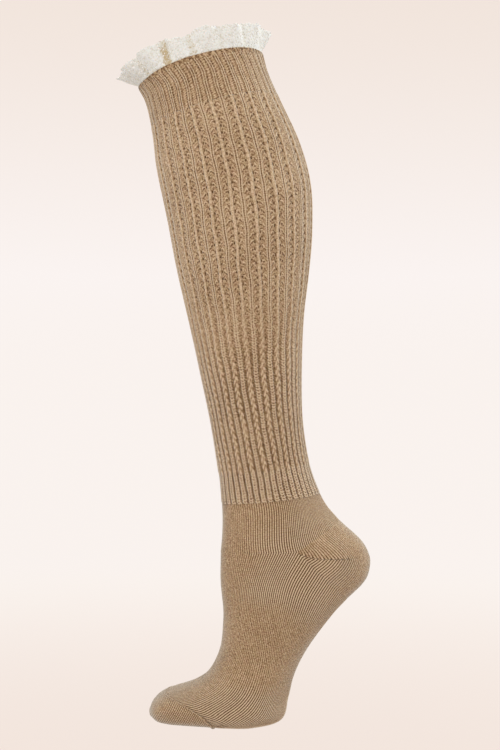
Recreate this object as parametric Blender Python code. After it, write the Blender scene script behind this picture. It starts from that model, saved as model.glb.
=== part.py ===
"""Knee-high knitted sock with a gathered lace top, in its worn shape, on tiptoe.

The sock is one knitted tube.  A table of sections gives its side outline, a row
for each ring of cloth: where the ring's front, middle and back lie in the plane
of symmetry, and how far it reaches to each side.  A ring is two half ovals that
meet at the middle.  Places round a ring are counted in wales, the columns of
knit stitches: wale 0 runs down the front, and the count rises towards -Y.

Frame: metres, +Z up, toes towards -X, the sagittal plane at Y = 0, and the
origin at the centre of the leg opening.
"""

import math
from collections import namedtuple

import bmesh
import bpy
import numpy as np

MM = 0.001

# Driving sizes.
SEAM_GAP = 0.3 * MM
CLOTH = 1.4 * MM
KNIT_RIB = 0.9 * MM
ROPE_RIB = 1.2 * MM
CUFF_RIB = 0.8 * MM
ANKLE_RIB = 0.8 * MM
LACE_WALL = 1.0 * MM
LACE_TUCK_IN = 6.0 * MM
LACE_HEIGHT = 24.0 * MM
LACE_SCALLOP = 2.2 * MM
GORE_START = 1.1

# The knitted tube has 168 wales: 88 in its front half and 80 in its back half.
FRONT_WALES = 44
BACK_WALES = 40
WALES = 2 * (FRONT_WALES + BACK_WALES)
SIDE_WALE = FRONT_WALES
BACK_WALE = FRONT_WALES + BACK_WALES
PATTERN_WALES = 8
RIB_WALES = 4
SCALLOP_WALES = 4
PLAIN_POINTS = 12
HEEL_POINTS = 22
OVAL_STEPS = 160
DIFFERENCE = 0.02

# Sections in millimetres, from the leg opening to the ankle.
Section = namedtuple(
    "Section",
    "name front_x front_z middle_x middle_z back_x back_z half_width front_power back_power",
)
LEG_SECTIONS = (
    Section("rim", -50.5, -13.5, 8.0, 2.0, 50.5, 13.5, 52.0, 2.0, 2.0),
    Section("welt", -46.0, -21.5, 11.0, -8.0, 53.5, 2.0, 51.5, 2.0, 2.0),
    Section("cuff_end", -40.5, -44.0, 17.0, -29.5, 62.0, -18.0, 54.0, 2.0, 2.0),
    Section("upper_calf", -36.0, -75.0, 26.5, -64.5, 79.5, -56.5, 57.0, 2.0, 2.0),
    Section("calf", -30.0, -105.5, 33.0, -99.5, 89.5, -94.0, 58.0, 2.0, 2.0),
    Section("lower_calf", -23.5, -139.0, 37.0, -134.5, 90.5, -129.5, 56.5, 2.0, 2.0),
    Section("taper_1", -16.5, -172.0, 39.5, -167.5, 87.5, -163.0, 52.5, 2.0, 2.0),
    Section("taper_2", -9.0, -206.5, 42.0, -202.0, 84.0, -197.5, 46.0, 2.0, 2.0),
    Section("taper_3", -1.5, -239.0, 44.0, -235.0, 82.0, -231.0, 39.5, 2.0, 2.0),
    Section("taper_4", 5.5, -273.5, 48.0, -270.0, 82.0, -266.5, 33.5, 2.0, 2.0),
    Section("taper_5", 11.5, -306.5, 53.5, -303.0, 84.5, -299.0, 30.0, 2.0, 2.0),
    Section("pattern_end", 15.0, -328.5, 57.5, -324.5, 88.0, -319.5, 29.0, 2.0, 1.95),
    Section("rib_end", 17.0, -352.5, 62.5, -348.5, 97.0, -344.0, 29.5, 2.0, 1.9),
    Section("ankle_1", 17.5, -367.0, 67.5, -363.0, 103.0, -354.5, 31.0, 2.0, 1.9),
    Section("ankle_2", 17.0, -381.0, 73.0, -377.0, 108.0, -360.5, 32.5, 2.0, 1.95),
    Section("gore_top", 16.0, -391.5, 77.5, -389.0, 112.5, -365.5, 33.0, 2.0, 2.0),
)

# Sections in millimetres, from the gore line to the tip of the toes.  In the foot
# the front of a ring is the instep side and its back is the sole.
FOOT_SECTIONS = (
    Section("gore_low", 16.0, -391.5, 77.5, -389.0, 119.5, -430.5, 33.0, 2.0, 2.0),
    Section("instep", 16.0, -415.5, 68.0, -414.0, 108.0, -443.0, 31.5, 2.0, 2.1),
    Section("arch", 18.0, -448.5, 54.5, -450.0, 86.0, -472.0, 32.0, 2.0, 2.3),
    Section("forefoot", 14.5, -474.5, 43.5, -482.0, 75.5, -494.5, 35.0, 2.1, 2.4),
    Section("ball_1", 4.5, -491.5, 33.5, -503.5, 71.0, -511.0, 39.0, 2.2, 2.6),
    Section("ball_2", -4.5, -497.5, 24.5, -511.5, 66.5, -526.0, 43.0, 2.2, 2.8),
    Section("ball_3", -12.5, -501.0, 13.5, -516.0, 47.0, -531.5, 45.0, 2.2, 2.9),
    Section("ball_4", -20.0, -503.5, 0.5, -517.5, 23.0, -532.0, 44.5, 2.2, 2.9),
    Section("toe_seam", -26.5, -505.5, -11.5, -518.0, 4.0, -531.5, 41.0, 2.2, 2.8),
    Section("toe_1", -32.5, -508.0, -23.0, -518.5, -12.5, -530.5, 36.5, 2.2, 2.7),
    Section("toe_2", -37.0, -511.5, -31.5, -520.0, -25.0, -529.5, 30.0, 2.2, 2.6),
    Section("toe_3", -40.5, -516.0, -37.5, -521.5, -34.5, -527.5, 20.5, 2.2, 2.4),
    Section("toe_4", -42.0, -520.5, -41.0, -522.5, -40.5, -524.5, 9.5, 2.0, 2.0),
)

# Back of the heel pocket in millimetres, between the two gore edges.
HeelPoint = namedtuple("HeelPoint", "x z")
HEEL_OUTLINE = (
    HeelPoint(112.5, -365.5),
    HeelPoint(119.0, -371.5),
    HeelPoint(126.5, -378.0),
    HeelPoint(132.5, -384.5),
    HeelPoint(136.5, -391.5),
    HeelPoint(138.5, -398.5),
    HeelPoint(138.0, -405.5),
    HeelPoint(136.0, -412.5),
    HeelPoint(132.0, -418.5),
    HeelPoint(126.0, -424.5),
    HeelPoint(119.5, -430.5),
)

# Raised ribs: places in wales from the start of a repeat, heights in metres.
RibPoint = namedtuple("RibPoint", "wale height")
LEG_PATTERN = (
    RibPoint(-0.85, 0.0),
    RibPoint(-0.45, ROPE_RIB),
    RibPoint(0.45, ROPE_RIB),
    RibPoint(0.85, 0.0),
    RibPoint(3.35, 0.0),
    RibPoint(3.65, KNIT_RIB),
    RibPoint(4.35, KNIT_RIB),
    RibPoint(4.65, 0.0),
)
CUFF_PATTERN = (
    RibPoint(-0.75, 0.0),
    RibPoint(-0.40, CUFF_RIB),
    RibPoint(0.40, CUFF_RIB),
    RibPoint(0.75, 0.0),
)
ANKLE_PATTERN = (
    RibPoint(-1.40, 0.0),
    RibPoint(-0.90, ANKLE_RIB),
    RibPoint(0.90, ANKLE_RIB),
    RibPoint(1.40, 0.0),
)

# Gathered waves of the lace: where on the ring, how far out (+) or in (-), and
# how wide.  The near side (wales 0 to 84) and the far side differ, as they do
# when lace is gathered by hand.
LaceWave = namedtuple("LaceWave", "wale push width")
LACE_WAVES = (
    LaceWave(2.0, 3.2, 3.4),
    LaceWave(8.5, -2.6, 3.0),
    LaceWave(15.0, 3.4, 3.6),
    LaceWave(23.5, -5.6, 2.6),
    LaceWave(29.0, 3.0, 3.4),
    LaceWave(36.5, -3.2, 3.0),
    LaceWave(43.0, 2.8, 3.8),
    LaceWave(50.5, -1.8, 3.2),
    LaceWave(57.0, 3.0, 3.4),
    LaceWave(63.5, -3.0, 2.8),
    LaceWave(70.0, 2.4, 3.6),
    LaceWave(77.0, -1.8, 3.4),
    LaceWave(84.5, 2.6, 3.6),
    LaceWave(92.0, -2.8, 3.0),
    LaceWave(99.0, 3.2, 3.4),
    LaceWave(107.5, -4.4, 2.8),
    LaceWave(113.5, 2.8, 3.6),
    LaceWave(120.5, -2.2, 3.2),
    LaceWave(127.0, 3.4, 3.4),
    LaceWave(134.5, -3.4, 2.8),
    LaceWave(141.0, 2.4, 3.6),
    LaceWave(148.5, -4.6, 2.8),
    LaceWave(155.0, 3.0, 3.2),
    LaceWave(162.0, -2.2, 2.8),
)

# Rows of the lace: height above the rim as a share of the lace's full height,
# how far its flare has opened and how much of each wave's push it has.
LaceRow = namedtuple("LaceRow", "height flare push")
LACE_ROWS = (
    LaceRow(0.05, 0.0, 0.0),
    LaceRow(0.32, 0.80, 0.40),
    LaceRow(0.66, 1.0, 0.80),
    LaceRow(1.00, 1.0, 1.15),
)
LACE_FLARE_FRONT = math.radians(32.0)
LACE_FLARE_SIDE = math.radians(22.0)
LACE_FLARE_BACK = math.radians(28.0)

# Finishes: base colour and roughness.
Finish = namedtuple("Finish", "colour roughness")
CAMEL_COTTON = Finish((0.392, 0.258, 0.156, 1.0), 0.9)
CREAM_LACE = Finish((0.738, 0.694, 0.631, 1.0), 0.85)


class Tube:
    """Smooth surface through a table of sections."""

    def __init__(self, sections):
        self.rows = np.array([section[1:] for section in sections], dtype=float)
        self.rows[:, :7] *= MM
        self.names = [section.name for section in sections]
        steps = np.diff(self.rows[:, :6], axis=0).reshape(-1, 3, 2)
        lengths = np.linalg.norm(steps, axis=2).mean(axis=1)
        self.knots = np.concatenate(([0.0], np.cumsum(lengths)))
        self.slopes = np.gradient(self.rows, self.knots, axis=0)

    def place(self, name):
        """Distance of a named section along the tube."""
        return self.knots[self.names.index(name)]

    def section(self, along):
        """Section values at a distance along the tube, by cubic interpolation."""
        last = len(self.knots) - 2
        index = int(np.clip(np.searchsorted(self.knots, along) - 1, 0, last))
        span = self.knots[index + 1] - self.knots[index]
        step = (along - self.knots[index]) / span
        value_a, value_b = self.rows[index], self.rows[index + 1]
        slope_a, slope_b = self.slopes[index] * span, self.slopes[index + 1] * span
        cubic = 2.0 * (value_a - value_b) + slope_a + slope_b
        square = -3.0 * (value_a - value_b) - 2.0 * slope_a - slope_b
        return ((cubic * step + square) * step + slope_a) * step + value_a

    def ring(self, along, wales):
        """Points of the smooth surface at one distance, one for each wale."""
        values = self.section(along)
        front, middle, back = values[0:2], values[2:4], values[4:6]
        half_width, front_power, back_power = values[6:9]
        turned = np.mod(wales, WALES)
        side = np.where(turned <= BACK_WALE, -1.0, 1.0)
        folded = np.minimum(turned, WALES - turned)
        in_front = folded <= SIDE_WALE
        front_share = np.clip(folded / FRONT_WALES, 0.0, 1.0)
        back_share = np.clip((BACK_WALE - folded) / BACK_WALES, 0.0, 1.0)
        reach_f, width_f = quarter_oval(middle, front, half_width, front_power, front_share)
        reach_b, width_b = quarter_oval(middle, back, half_width, back_power, back_share)
        reach = np.where(in_front[:, None], reach_f, reach_b)
        width = np.where(in_front, width_f, width_b)
        return np.column_stack((reach[:, 0], side * width, reach[:, 1]))

    def normals(self, along, wales):
        """Outward unit normals at the points of a ring."""
        low = max(along - MM, self.knots[0])
        high = min(along + MM, self.knots[-1])
        down = self.ring(high, wales) - self.ring(low, wales)
        round_ring = self.ring(along, wales + DIFFERENCE) - self.ring(along, wales - DIFFERENCE)
        return unit(np.cross(down, round_ring))

    def wall_row(self, along, wales, heights, setback=0.0):
        """Points raised from the surface, and moved along the tube from a seam."""
        towards = self.ring(along + math.copysign(MM, setback), wales) - self.ring(along, wales)
        moved = self.ring(along, wales) + unit(towards) * abs(setback)
        return moved + self.normals(along, wales) * np.asarray(heights)[:, None]


def unit(vectors):
    """Vectors scaled to length one."""
    lengths = np.linalg.norm(vectors, axis=-1, keepdims=True)
    return vectors / np.maximum(lengths, 1e-12)


def quarter_oval(middle, end, half_width, power, share):
    """Points at equal steps of length round a quarter of an oval.

    A share of 0 is the end in the plane of symmetry, and 1 is the side.
    """
    reach = np.linalg.norm(end - middle)
    angles = np.linspace(0.0, math.pi / 2, OVAL_STEPS)
    ahead = reach * np.cos(angles) ** (2.0 / power)
    aside = half_width * np.sin(angles) ** (2.0 / power)
    lengths = np.concatenate(([0.0], np.cumsum(np.hypot(np.diff(ahead), np.diff(aside)))))
    angle = np.interp(share * lengths[-1], lengths, angles)
    forward = np.abs(np.cos(angle)) ** (2.0 / power)
    width = half_width * np.abs(np.sin(angle)) ** (2.0 / power)
    return middle + forward[:, None] * (end - middle), width


def ribbed_wales(pattern, repeat):
    """Wales and heights of a ribbed ring, for every repeat of its pattern."""
    starts = np.arange(WALES // repeat) * repeat
    wales = (starts[:, None] + np.array([point.wale for point in pattern])).ravel()
    heights = np.tile([point.height for point in pattern], len(starts))
    return wales, heights


def plain_wales():
    """Wales of a plain ring, with the same number of points in each quarter."""
    quarter_f = np.linspace(0, SIDE_WALE, PLAIN_POINTS, endpoint=False)
    quarter_b = np.linspace(SIDE_WALE, BACK_WALE, PLAIN_POINTS, endpoint=False)
    near = np.concatenate((quarter_f, quarter_b))
    far = WALES - np.concatenate((near[1:], [BACK_WALE]))
    return np.concatenate((near, far[::-1]))


def setbacks(count):
    """Setback of each row of a piece: half a seam gap at both of its ends."""
    values = [0.0] * count
    values[0] = SEAM_GAP / 2
    values[-1] = -SEAM_GAP / 2
    return values


def skin(mesh, rows, closed):
    """Quads between neighbouring rows of points."""
    count = len(rows[0])
    spans = count if closed else count - 1
    for upper, lower in zip(rows, rows[1:]):
        for place in range(spans):
            after = (place + 1) % count
            mesh.faces.new((upper[place], upper[after], lower[after], lower[place]))


def edge_band(mesh, outer, inner, closed):
    """Faces over a wall's cut edge, whose outer row may have more points."""
    ratio = len(outer) // len(inner)
    spans = len(inner) if closed else len(inner) - 1
    for place in range(spans):
        after = (place + 1) % len(inner)
        row = [outer[(place * ratio + step) % len(outer)] for step in range(ratio + 1)]
        if ratio == 1:
            mesh.faces.new((row[0], row[1], inner[after], inner[place]))
            continue
        half = ratio // 2
        for step in range(ratio):
            apex = inner[place] if step < half else inner[after]
            mesh.faces.new((row[step], row[step + 1], apex))
        mesh.faces.new((inner[place], inner[after], row[half]))


def add_points(mesh, rows):
    """Rows of mesh points at rows of coordinates."""
    return [[mesh.verts.new(point) for point in row] for row in rows]


def finish_object(mesh, name, finish, collection):
    """Make the object of a closed wall, with its own material, shaded smooth."""
    bmesh.ops.recalc_face_normals(mesh, faces=mesh.faces)
    data = bpy.data.meshes.new(name)
    mesh.to_mesh(data)
    mesh.free()
    data.shade_smooth()
    material = bpy.data.materials.new(name)
    material.use_nodes = True
    shader = material.node_tree.nodes["Principled BSDF"]
    shader.inputs["Base Color"].default_value = finish.colour
    shader.inputs["Roughness"].default_value = finish.roughness
    shader.inputs["Metallic"].default_value = 0.0
    data.materials.append(material)
    piece = bpy.data.objects.new(name, data)
    collection.objects.link(piece)
    return piece


def make_wall(name, outer, inner, closed, finish, collection, tips=None):
    """Closed wall between an outer and an inner sheet of points.

    A closed piece is a ring with two cut ends, and an open one is a strip with
    four.  With tips, the last rows close over an outer and an inner tip point.
    """
    mesh = bmesh.new()
    outer_rows = add_points(mesh, outer)
    inner_rows = add_points(mesh, inner)
    skin(mesh, outer_rows, closed)
    skin(mesh, inner_rows, closed)
    edge_band(mesh, outer_rows[0], inner_rows[0], closed)
    if tips is None:
        edge_band(mesh, outer_rows[-1], inner_rows[-1], closed)
    else:
        for row, tip in zip((outer_rows[-1], inner_rows[-1]), tips):
            point = mesh.verts.new(tip)
            for place, vert in enumerate(row):
                mesh.faces.new((vert, row[(place + 1) % len(row)], point))
    if not closed:
        for side in (0, -1):
            outer_edge = [row[side] for row in outer_rows]
            inner_edge = [row[side] for row in inner_rows]
            edge_band(mesh, outer_edge, inner_edge, closed=False)
    return finish_object(mesh, name, finish, collection)


def make_ribbed(name, tube, start, end, rows, pattern, repeat, collection):
    """Tube of cloth whose ribs are raised in its outer points over a plain inside."""
    wales, heights = ribbed_wales(pattern, repeat)
    inner_wales = wales.reshape(-1, RIB_WALES).mean(axis=1) - RIB_WALES / 2
    places = np.linspace(tube.place(start), tube.place(end), rows)
    depths = np.full(len(inner_wales), -CLOTH)
    outer = [tube.wall_row(at, wales, heights, back) for at, back in zip(places, setbacks(rows))]
    inner = [tube.wall_row(at, inner_wales, depths, back) for at, back in zip(places, setbacks(rows))]
    return make_wall(name, outer, inner, True, CAMEL_COTTON, collection)


def make_plain(name, tube, start, end, rows, collection):
    """Plain tube of cloth between two named sections."""
    wales = plain_wales()
    places = np.linspace(tube.place(start), tube.place(end), rows)
    flat = np.zeros(len(wales))
    outer = [tube.wall_row(at, wales, flat, back) for at, back in zip(places, setbacks(rows))]
    inner = [tube.wall_row(at, wales, flat - CLOTH, back) for at, back in zip(places, setbacks(rows))]
    return make_wall(name, outer, inner, True, CAMEL_COTTON, collection)


def make_toe(name, tube, start, rows, collection):
    """Toe cap: a tube of cloth from the toe seam that closes at its tip."""
    wales = plain_wales()
    places = np.linspace(tube.place(start), tube.knots[-1], rows)
    flat = np.zeros(len(wales))
    backs = setbacks(rows)
    backs[-1] = 0.0
    outer = [tube.wall_row(at, wales, flat, back) for at, back in zip(places, backs)]
    inner = [tube.wall_row(at, wales, flat - CLOTH, back) for at, back in zip(places, backs)]
    onward = unit(outer[-1].mean(axis=0) - outer[-2].mean(axis=0))
    tip = outer[-1].mean(axis=0) + onward * CLOTH / 2
    return make_wall(name, outer, inner, True, CAMEL_COTTON, collection, (tip, tip - onward * CLOTH))


def heel_tube():
    """Surface of the heel pocket: half rings that turn about the gore's apex."""
    top = LEG_SECTIONS[-1]
    sections = [
        top._replace(name=f"heel_{place}", back_x=point.x, back_z=point.z)
        for place, point in enumerate(HEEL_OUTLINE)
    ]
    tube = Tube(sections)
    turns = np.linspace(0.0, 1.0, len(HEEL_OUTLINE))
    tube.rows[:, 7:9] = top.front_power + (FOOT_SECTIONS[0].back_power - top.back_power) * turns[:, None]
    return tube


def make_heel(name, rows, collection):
    """Heel pocket: a strip between the gore edges, widest at the back."""
    tube = heel_tube()
    wales = np.linspace(SIDE_WALE + GORE_START, WALES - SIDE_WALE - GORE_START, HEEL_POINTS + 1)
    places = np.linspace(tube.knots[0], tube.knots[-1], rows)
    flat = np.zeros(len(wales))
    outer = [tube.wall_row(at, wales, flat, back) for at, back in zip(places, setbacks(rows))]
    inner = [tube.wall_row(at, wales, flat - CLOTH, back) for at, back in zip(places, setbacks(rows))]
    return make_wall(name, outer, inner, False, CAMEL_COTTON, collection)


def lace_flare(wales):
    """How far the lace leans out: most at the front, least at the sides."""
    turn = 2.0 * math.pi * wales / WALES
    ahead = np.clip(np.cos(turn), 0.0, 1.0) ** 1.5
    behind = np.clip(-np.cos(turn), 0.0, 1.0) ** 1.5
    side = LACE_FLARE_SIDE
    return side + (LACE_FLARE_FRONT - side) * ahead + (LACE_FLARE_BACK - side) * behind


def lace_waves(wales):
    """Push of the gathered waves at each wale."""
    push = np.zeros(len(wales))
    for wave in LACE_WAVES:
        apart = np.mod(wales - wave.wale + WALES / 2, WALES) - WALES / 2
        push += wave.push * MM * np.exp(-((apart / wave.width) ** 2))
    return push


def make_lace(name, tube, collection):
    """Frill of lace sewn inside the rim, which stands up and leans outwards."""
    wales = np.arange(WALES, dtype=float)
    rim = tube.knots[0]
    base = tube.ring(rim, wales)
    outward = tube.normals(rim, wales)
    upward = unit(base - tube.ring(rim + MM, wales))
    depth = CLOTH + SEAM_GAP
    push = lace_waves(wales)
    scallop = LACE_SCALLOP * np.abs(np.sin(math.pi * wales / SCALLOP_WALES))
    flare = lace_flare(wales)
    tucked = tube.ring(rim + LACE_TUCK_IN, wales)
    tucked_out = tube.normals(rim + LACE_TUCK_IN, wales)
    outer = [tucked - tucked_out * depth]
    inner = [tucked - tucked_out * (depth + LACE_WALL)]
    for row in LACE_ROWS:
        height = row.height * LACE_HEIGHT + (scallop - LACE_SCALLOP if row is LACE_ROWS[-1] else 0.0)
        lean = flare * row.flare
        rise = height * np.cos(lean)
        out = height * np.sin(lean) - depth + push * row.push
        sheet = base + upward * rise[:, None] + outward * out[:, None]
        facing = unit(outward * np.cos(lean)[:, None] - upward * np.sin(lean)[:, None])
        outer.append(sheet)
        inner.append(sheet - facing * LACE_WALL)
    return make_wall(name, outer, inner, True, CREAM_LACE, collection)


def clear_scene():
    """Remove every object."""
    for item in list(bpy.data.objects):
        bpy.data.objects.remove(item, do_unlink=True)


def main():
    """Model the sock."""
    clear_scene()
    collection = bpy.data.collections.new("knee_high_sock")
    bpy.context.scene.collection.children.link(collection)
    leg = Tube(LEG_SECTIONS)
    foot = Tube(FOOT_SECTIONS)
    make_lace("lace_frill", leg, collection)
    make_ribbed("cuff", leg, "rim", "cuff_end", 4, CUFF_PATTERN, RIB_WALES, collection)
    make_ribbed("leg", leg, "cuff_end", "pattern_end", 11, LEG_PATTERN, PATTERN_WALES, collection)
    make_ribbed("ankle_rib", leg, "pattern_end", "rib_end", 3, ANKLE_PATTERN, RIB_WALES, collection)
    make_plain("ankle", leg, "rib_end", "gore_top", 5, collection)
    make_heel("heel", 10, collection)
    make_plain("foot", foot, "gore_low", "toe_seam", 17, collection)
    make_toe("toe", foot, "toe_seam", 7, collection)


main()
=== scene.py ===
"""Looks of a camel knee-high sock with a gathered cream lace top.

The sock is one knitted tube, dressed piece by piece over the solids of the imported
model.  Places round the tube are counted in wales, the columns of stitches, and
places along it in metres from the rim or from the gore line.  Every knitted sheet
starts as a grid whose columns are wales and whose rows run down the outside of the
cloth and back up its inside.
"""

import logging
import math
from abc import ABC, abstractmethod
from dataclasses import dataclass, field, replace
from enum import Enum
from typing import NamedTuple

import bmesh
import bpy
import numpy as np
from mathutils import Matrix, Vector

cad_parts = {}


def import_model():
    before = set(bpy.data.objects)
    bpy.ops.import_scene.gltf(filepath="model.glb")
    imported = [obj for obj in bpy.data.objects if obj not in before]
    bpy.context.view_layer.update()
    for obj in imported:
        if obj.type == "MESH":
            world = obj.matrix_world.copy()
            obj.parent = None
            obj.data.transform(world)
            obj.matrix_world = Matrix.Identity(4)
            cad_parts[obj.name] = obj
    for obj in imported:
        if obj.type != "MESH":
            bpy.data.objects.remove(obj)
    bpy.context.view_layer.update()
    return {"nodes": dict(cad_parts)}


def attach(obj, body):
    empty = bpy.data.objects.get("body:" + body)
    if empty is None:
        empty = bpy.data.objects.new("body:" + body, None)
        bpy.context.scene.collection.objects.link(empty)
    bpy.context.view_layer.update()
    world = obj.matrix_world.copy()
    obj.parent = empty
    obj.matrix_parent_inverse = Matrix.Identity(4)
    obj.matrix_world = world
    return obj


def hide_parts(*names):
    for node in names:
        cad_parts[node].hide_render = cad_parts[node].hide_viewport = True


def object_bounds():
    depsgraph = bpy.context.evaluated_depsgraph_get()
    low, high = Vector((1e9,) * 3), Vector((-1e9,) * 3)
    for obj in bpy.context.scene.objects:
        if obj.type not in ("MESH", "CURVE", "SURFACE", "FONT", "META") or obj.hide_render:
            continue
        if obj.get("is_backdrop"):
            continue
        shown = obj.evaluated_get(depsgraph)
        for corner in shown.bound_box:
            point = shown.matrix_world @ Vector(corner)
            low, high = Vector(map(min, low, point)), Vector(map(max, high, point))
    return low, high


LOG = logging.getLogger("knee_high_sock")
MM = 0.001
BODY = "root"
WELD = 1e-6

# The openwork tube has 168 wales: 88 in its front half and 80 in its back half.
# Plain knit takes in every seventh wale, which leaves 144.
FRONT_WALES = 44
BACK_WALES = 40
BACK_WALE = FRONT_WALES + BACK_WALES
WALES = 2 * BACK_WALE
REPEAT = 8
RIB = 4
PLAIN_SHARE = 144 / WALES

# The openwork has 52 repeats down the leg, with four rows of the grid in each and 3.3
# courses that show; where it has closed up, 2.6 show.  The eyelets on the two sides of
# a rope stand a little apart.  Bends and leans are in repeats for each wale.
PERIODS = 52
GRID_ROWS = 4
COURSES_SEEN = 3.3
CLOSED_COURSES = 2.6
STAGGER = 0.27
ROPE_MIDDLE = 0.20
BRAID_MIDDLE = 0.35
LEAF_LEAN = 0.34
ARCH_BEND = 0.42
ARCH_START = 0.03

PLAIN_COURSE = 1.55 * MM
PLAIN_DEPTH = 0.17 * MM
CLOTH = 1.4 * MM
SLIDE_STEP = 0.05 * MM


class Section(NamedTuple):
    """A ring of cloth in the plane of symmetry, in millimetres."""

    name: str
    front_x: float
    front_z: float
    middle_x: float
    middle_z: float
    back_x: float
    back_z: float
    half_width: float
    front_power: float
    back_power: float


LEG_SECTIONS = (
    Section("rim", -50.5, -13.5, 8.0, 2.0, 50.5, 13.5, 52.0, 2.0, 2.0),
    Section("welt", -46.0, -21.5, 11.0, -8.0, 53.5, 2.0, 51.5, 2.0, 2.0),
    Section("cuff_end", -40.5, -44.0, 17.0, -29.5, 62.0, -18.0, 54.0, 2.0, 2.0),
    Section("upper_calf", -36.0, -75.0, 26.5, -64.5, 79.5, -56.5, 57.0, 2.0, 2.0),
    Section("calf", -30.0, -105.5, 33.0, -99.5, 89.5, -94.0, 58.0, 2.0, 2.0),
    Section("lower_calf", -23.5, -139.0, 37.0, -134.5, 90.5, -129.5, 56.5, 2.0, 2.0),
    Section("taper_1", -16.5, -172.0, 39.5, -167.5, 87.5, -163.0, 52.5, 2.0, 2.0),
    Section("taper_2", -9.0, -206.5, 42.0, -202.0, 84.0, -197.5, 46.0, 2.0, 2.0),
    Section("taper_3", -1.5, -239.0, 44.0, -235.0, 82.0, -231.0, 39.5, 2.0, 2.0),
    Section("taper_4", 5.5, -273.5, 48.0, -270.0, 82.0, -266.5, 33.5, 2.0, 2.0),
    Section("taper_5", 11.5, -306.5, 53.5, -303.0, 84.5, -299.0, 30.0, 2.0, 2.0),
    Section("pattern_end", 15.0, -328.5, 57.5, -324.5, 88.0, -319.5, 29.0, 2.0, 1.95),
    Section("rib_end", 17.0, -352.5, 62.5, -348.5, 97.0, -344.0, 29.5, 2.0, 1.9),
    Section("ankle_1", 17.5, -367.0, 67.5, -363.0, 103.0, -354.5, 31.0, 2.0, 1.9),
    Section("ankle_2", 17.0, -381.0, 73.0, -377.0, 108.0, -360.5, 32.5, 2.0, 1.95),
    Section("gore_top", 16.0, -391.5, 77.5, -389.0, 112.5, -365.5, 33.0, 2.0, 2.0),
)

# In the foot the front of a ring is the instep side and its back is the sole.
FOOT_SECTIONS = (
    Section("gore_low", 16.0, -391.5, 77.5, -389.0, 119.5, -430.5, 33.0, 2.0, 2.0),
    Section("instep", 16.0, -415.5, 68.0, -414.0, 108.0, -443.0, 31.5, 2.0, 2.1),
    Section("arch", 18.0, -448.5, 54.5, -450.0, 86.0, -472.0, 32.0, 2.0, 2.3),
    Section("forefoot", 14.5, -474.5, 43.5, -482.0, 75.5, -494.5, 35.0, 2.1, 2.4),
    Section("ball_1", 4.5, -491.5, 33.5, -503.5, 71.0, -511.0, 39.0, 2.2, 2.6),
    Section("ball_2", -4.5, -497.5, 24.5, -511.5, 66.5, -526.0, 43.0, 2.2, 2.8),
    Section("ball_3", -12.5, -501.0, 13.5, -516.0, 47.0, -531.5, 45.0, 2.2, 2.9),
    Section("ball_4", -20.0, -503.5, 0.5, -517.5, 23.0, -532.0, 44.5, 2.2, 2.9),
    Section("toe_seam", -26.5, -505.5, -11.5, -518.0, 4.0, -531.5, 41.0, 2.2, 2.8),
    Section("toe_1", -32.5, -508.0, -23.0, -518.5, -12.5, -531.2, 36.5, 2.2, 2.7),
    Section("toe_2", -37.0, -511.5, -31.5, -520.0, -25.5, -530.9, 30.0, 2.2, 2.6),
    Section("toe_3", -40.5, -516.0, -38.0, -522.0, -35.6, -529.4, 20.5, 2.2, 2.4),
    Section("toe_4", -42.2, -520.5, -41.4, -523.3, -40.8, -526.4, 9.5, 2.0, 2.0),
)

# Back of the heel pocket, x and z in millimetres, between the two gore edges.
HEEL_OUTLINE = (
    (112.5, -365.5),
    (119.0, -371.5),
    (126.5, -378.0),
    (132.5, -384.5),
    (136.5, -391.5),
    (138.5, -398.5),
    (138.0, -405.5),
    (136.0, -412.5),
    (132.0, -418.5),
    (126.0, -424.5),
    (119.5, -430.5),
)

# Wales from the front, and millimetres at each.
RIM_LIFT = ((0, 10, 16, 24, 36, 44, 60, 72, 84), (1.5, 1.0, 2.3, 4.0, 4.9, 4.1, 2.8, 1.5, 1.3))
SEAM_SLIDE = (
    (0, 12, 20, 28, 36, 44, 52, 60, 68, 84),
    (4.0, 3.5, 0.5, -5.5, -11.0, -12.5, -9.5, -6.5, -5.5, -5.0),
)
SEAM_SLIDE_REACH = (45.0 * MM, 32.0 * MM)

# Wales from the front over which the toe seam lies flat, on the near and the far side.
FLAT_SEAM = (9.5, 30.0)


def unit(vectors: np.ndarray) -> np.ndarray:
    """Scale vectors to length one."""
    lengths = np.linalg.norm(vectors, axis=-1, keepdims=True)
    return vectors / np.maximum(lengths, 1e-12)


def smooth(low: float, high: float, value: np.ndarray) -> np.ndarray:
    """Smooth step from 0 at low to 1 at high."""
    share = np.clip((value - low) / (high - low), 0.0, 1.0)
    return share * share * (3.0 - 2.0 * share)


def hump(offset: np.ndarray, width: float) -> np.ndarray:
    """Round hump of height one over an offset from its centre."""
    return np.exp(-((offset / width) ** 2))


def wrapped(offset: np.ndarray, period: float) -> np.ndarray:
    """Signed offset from the nearest multiple of a period."""
    return offset - np.round(offset / period) * period


def turns(value: np.ndarray) -> np.ndarray:
    """Cosine of whole turns."""
    return np.cos(math.tau * value)


def mixed(first: np.ndarray, second: np.ndarray, share: np.ndarray) -> np.ndarray:
    """First where share is 0 and second where it is 1."""
    return first * (1.0 - share) + second * share


def folded_wales(wale: np.ndarray) -> np.ndarray:
    """Wales from the front of the tube, counted either way."""
    turned = np.mod(wale, WALES)
    return np.minimum(turned, WALES - turned)


def near_side(wale: np.ndarray) -> np.ndarray:
    """1 on the side of the tube that faces the camera and -1 on the far side."""
    return np.where(np.mod(wale, WALES) <= BACK_WALE, 1.0, -1.0)


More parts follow.
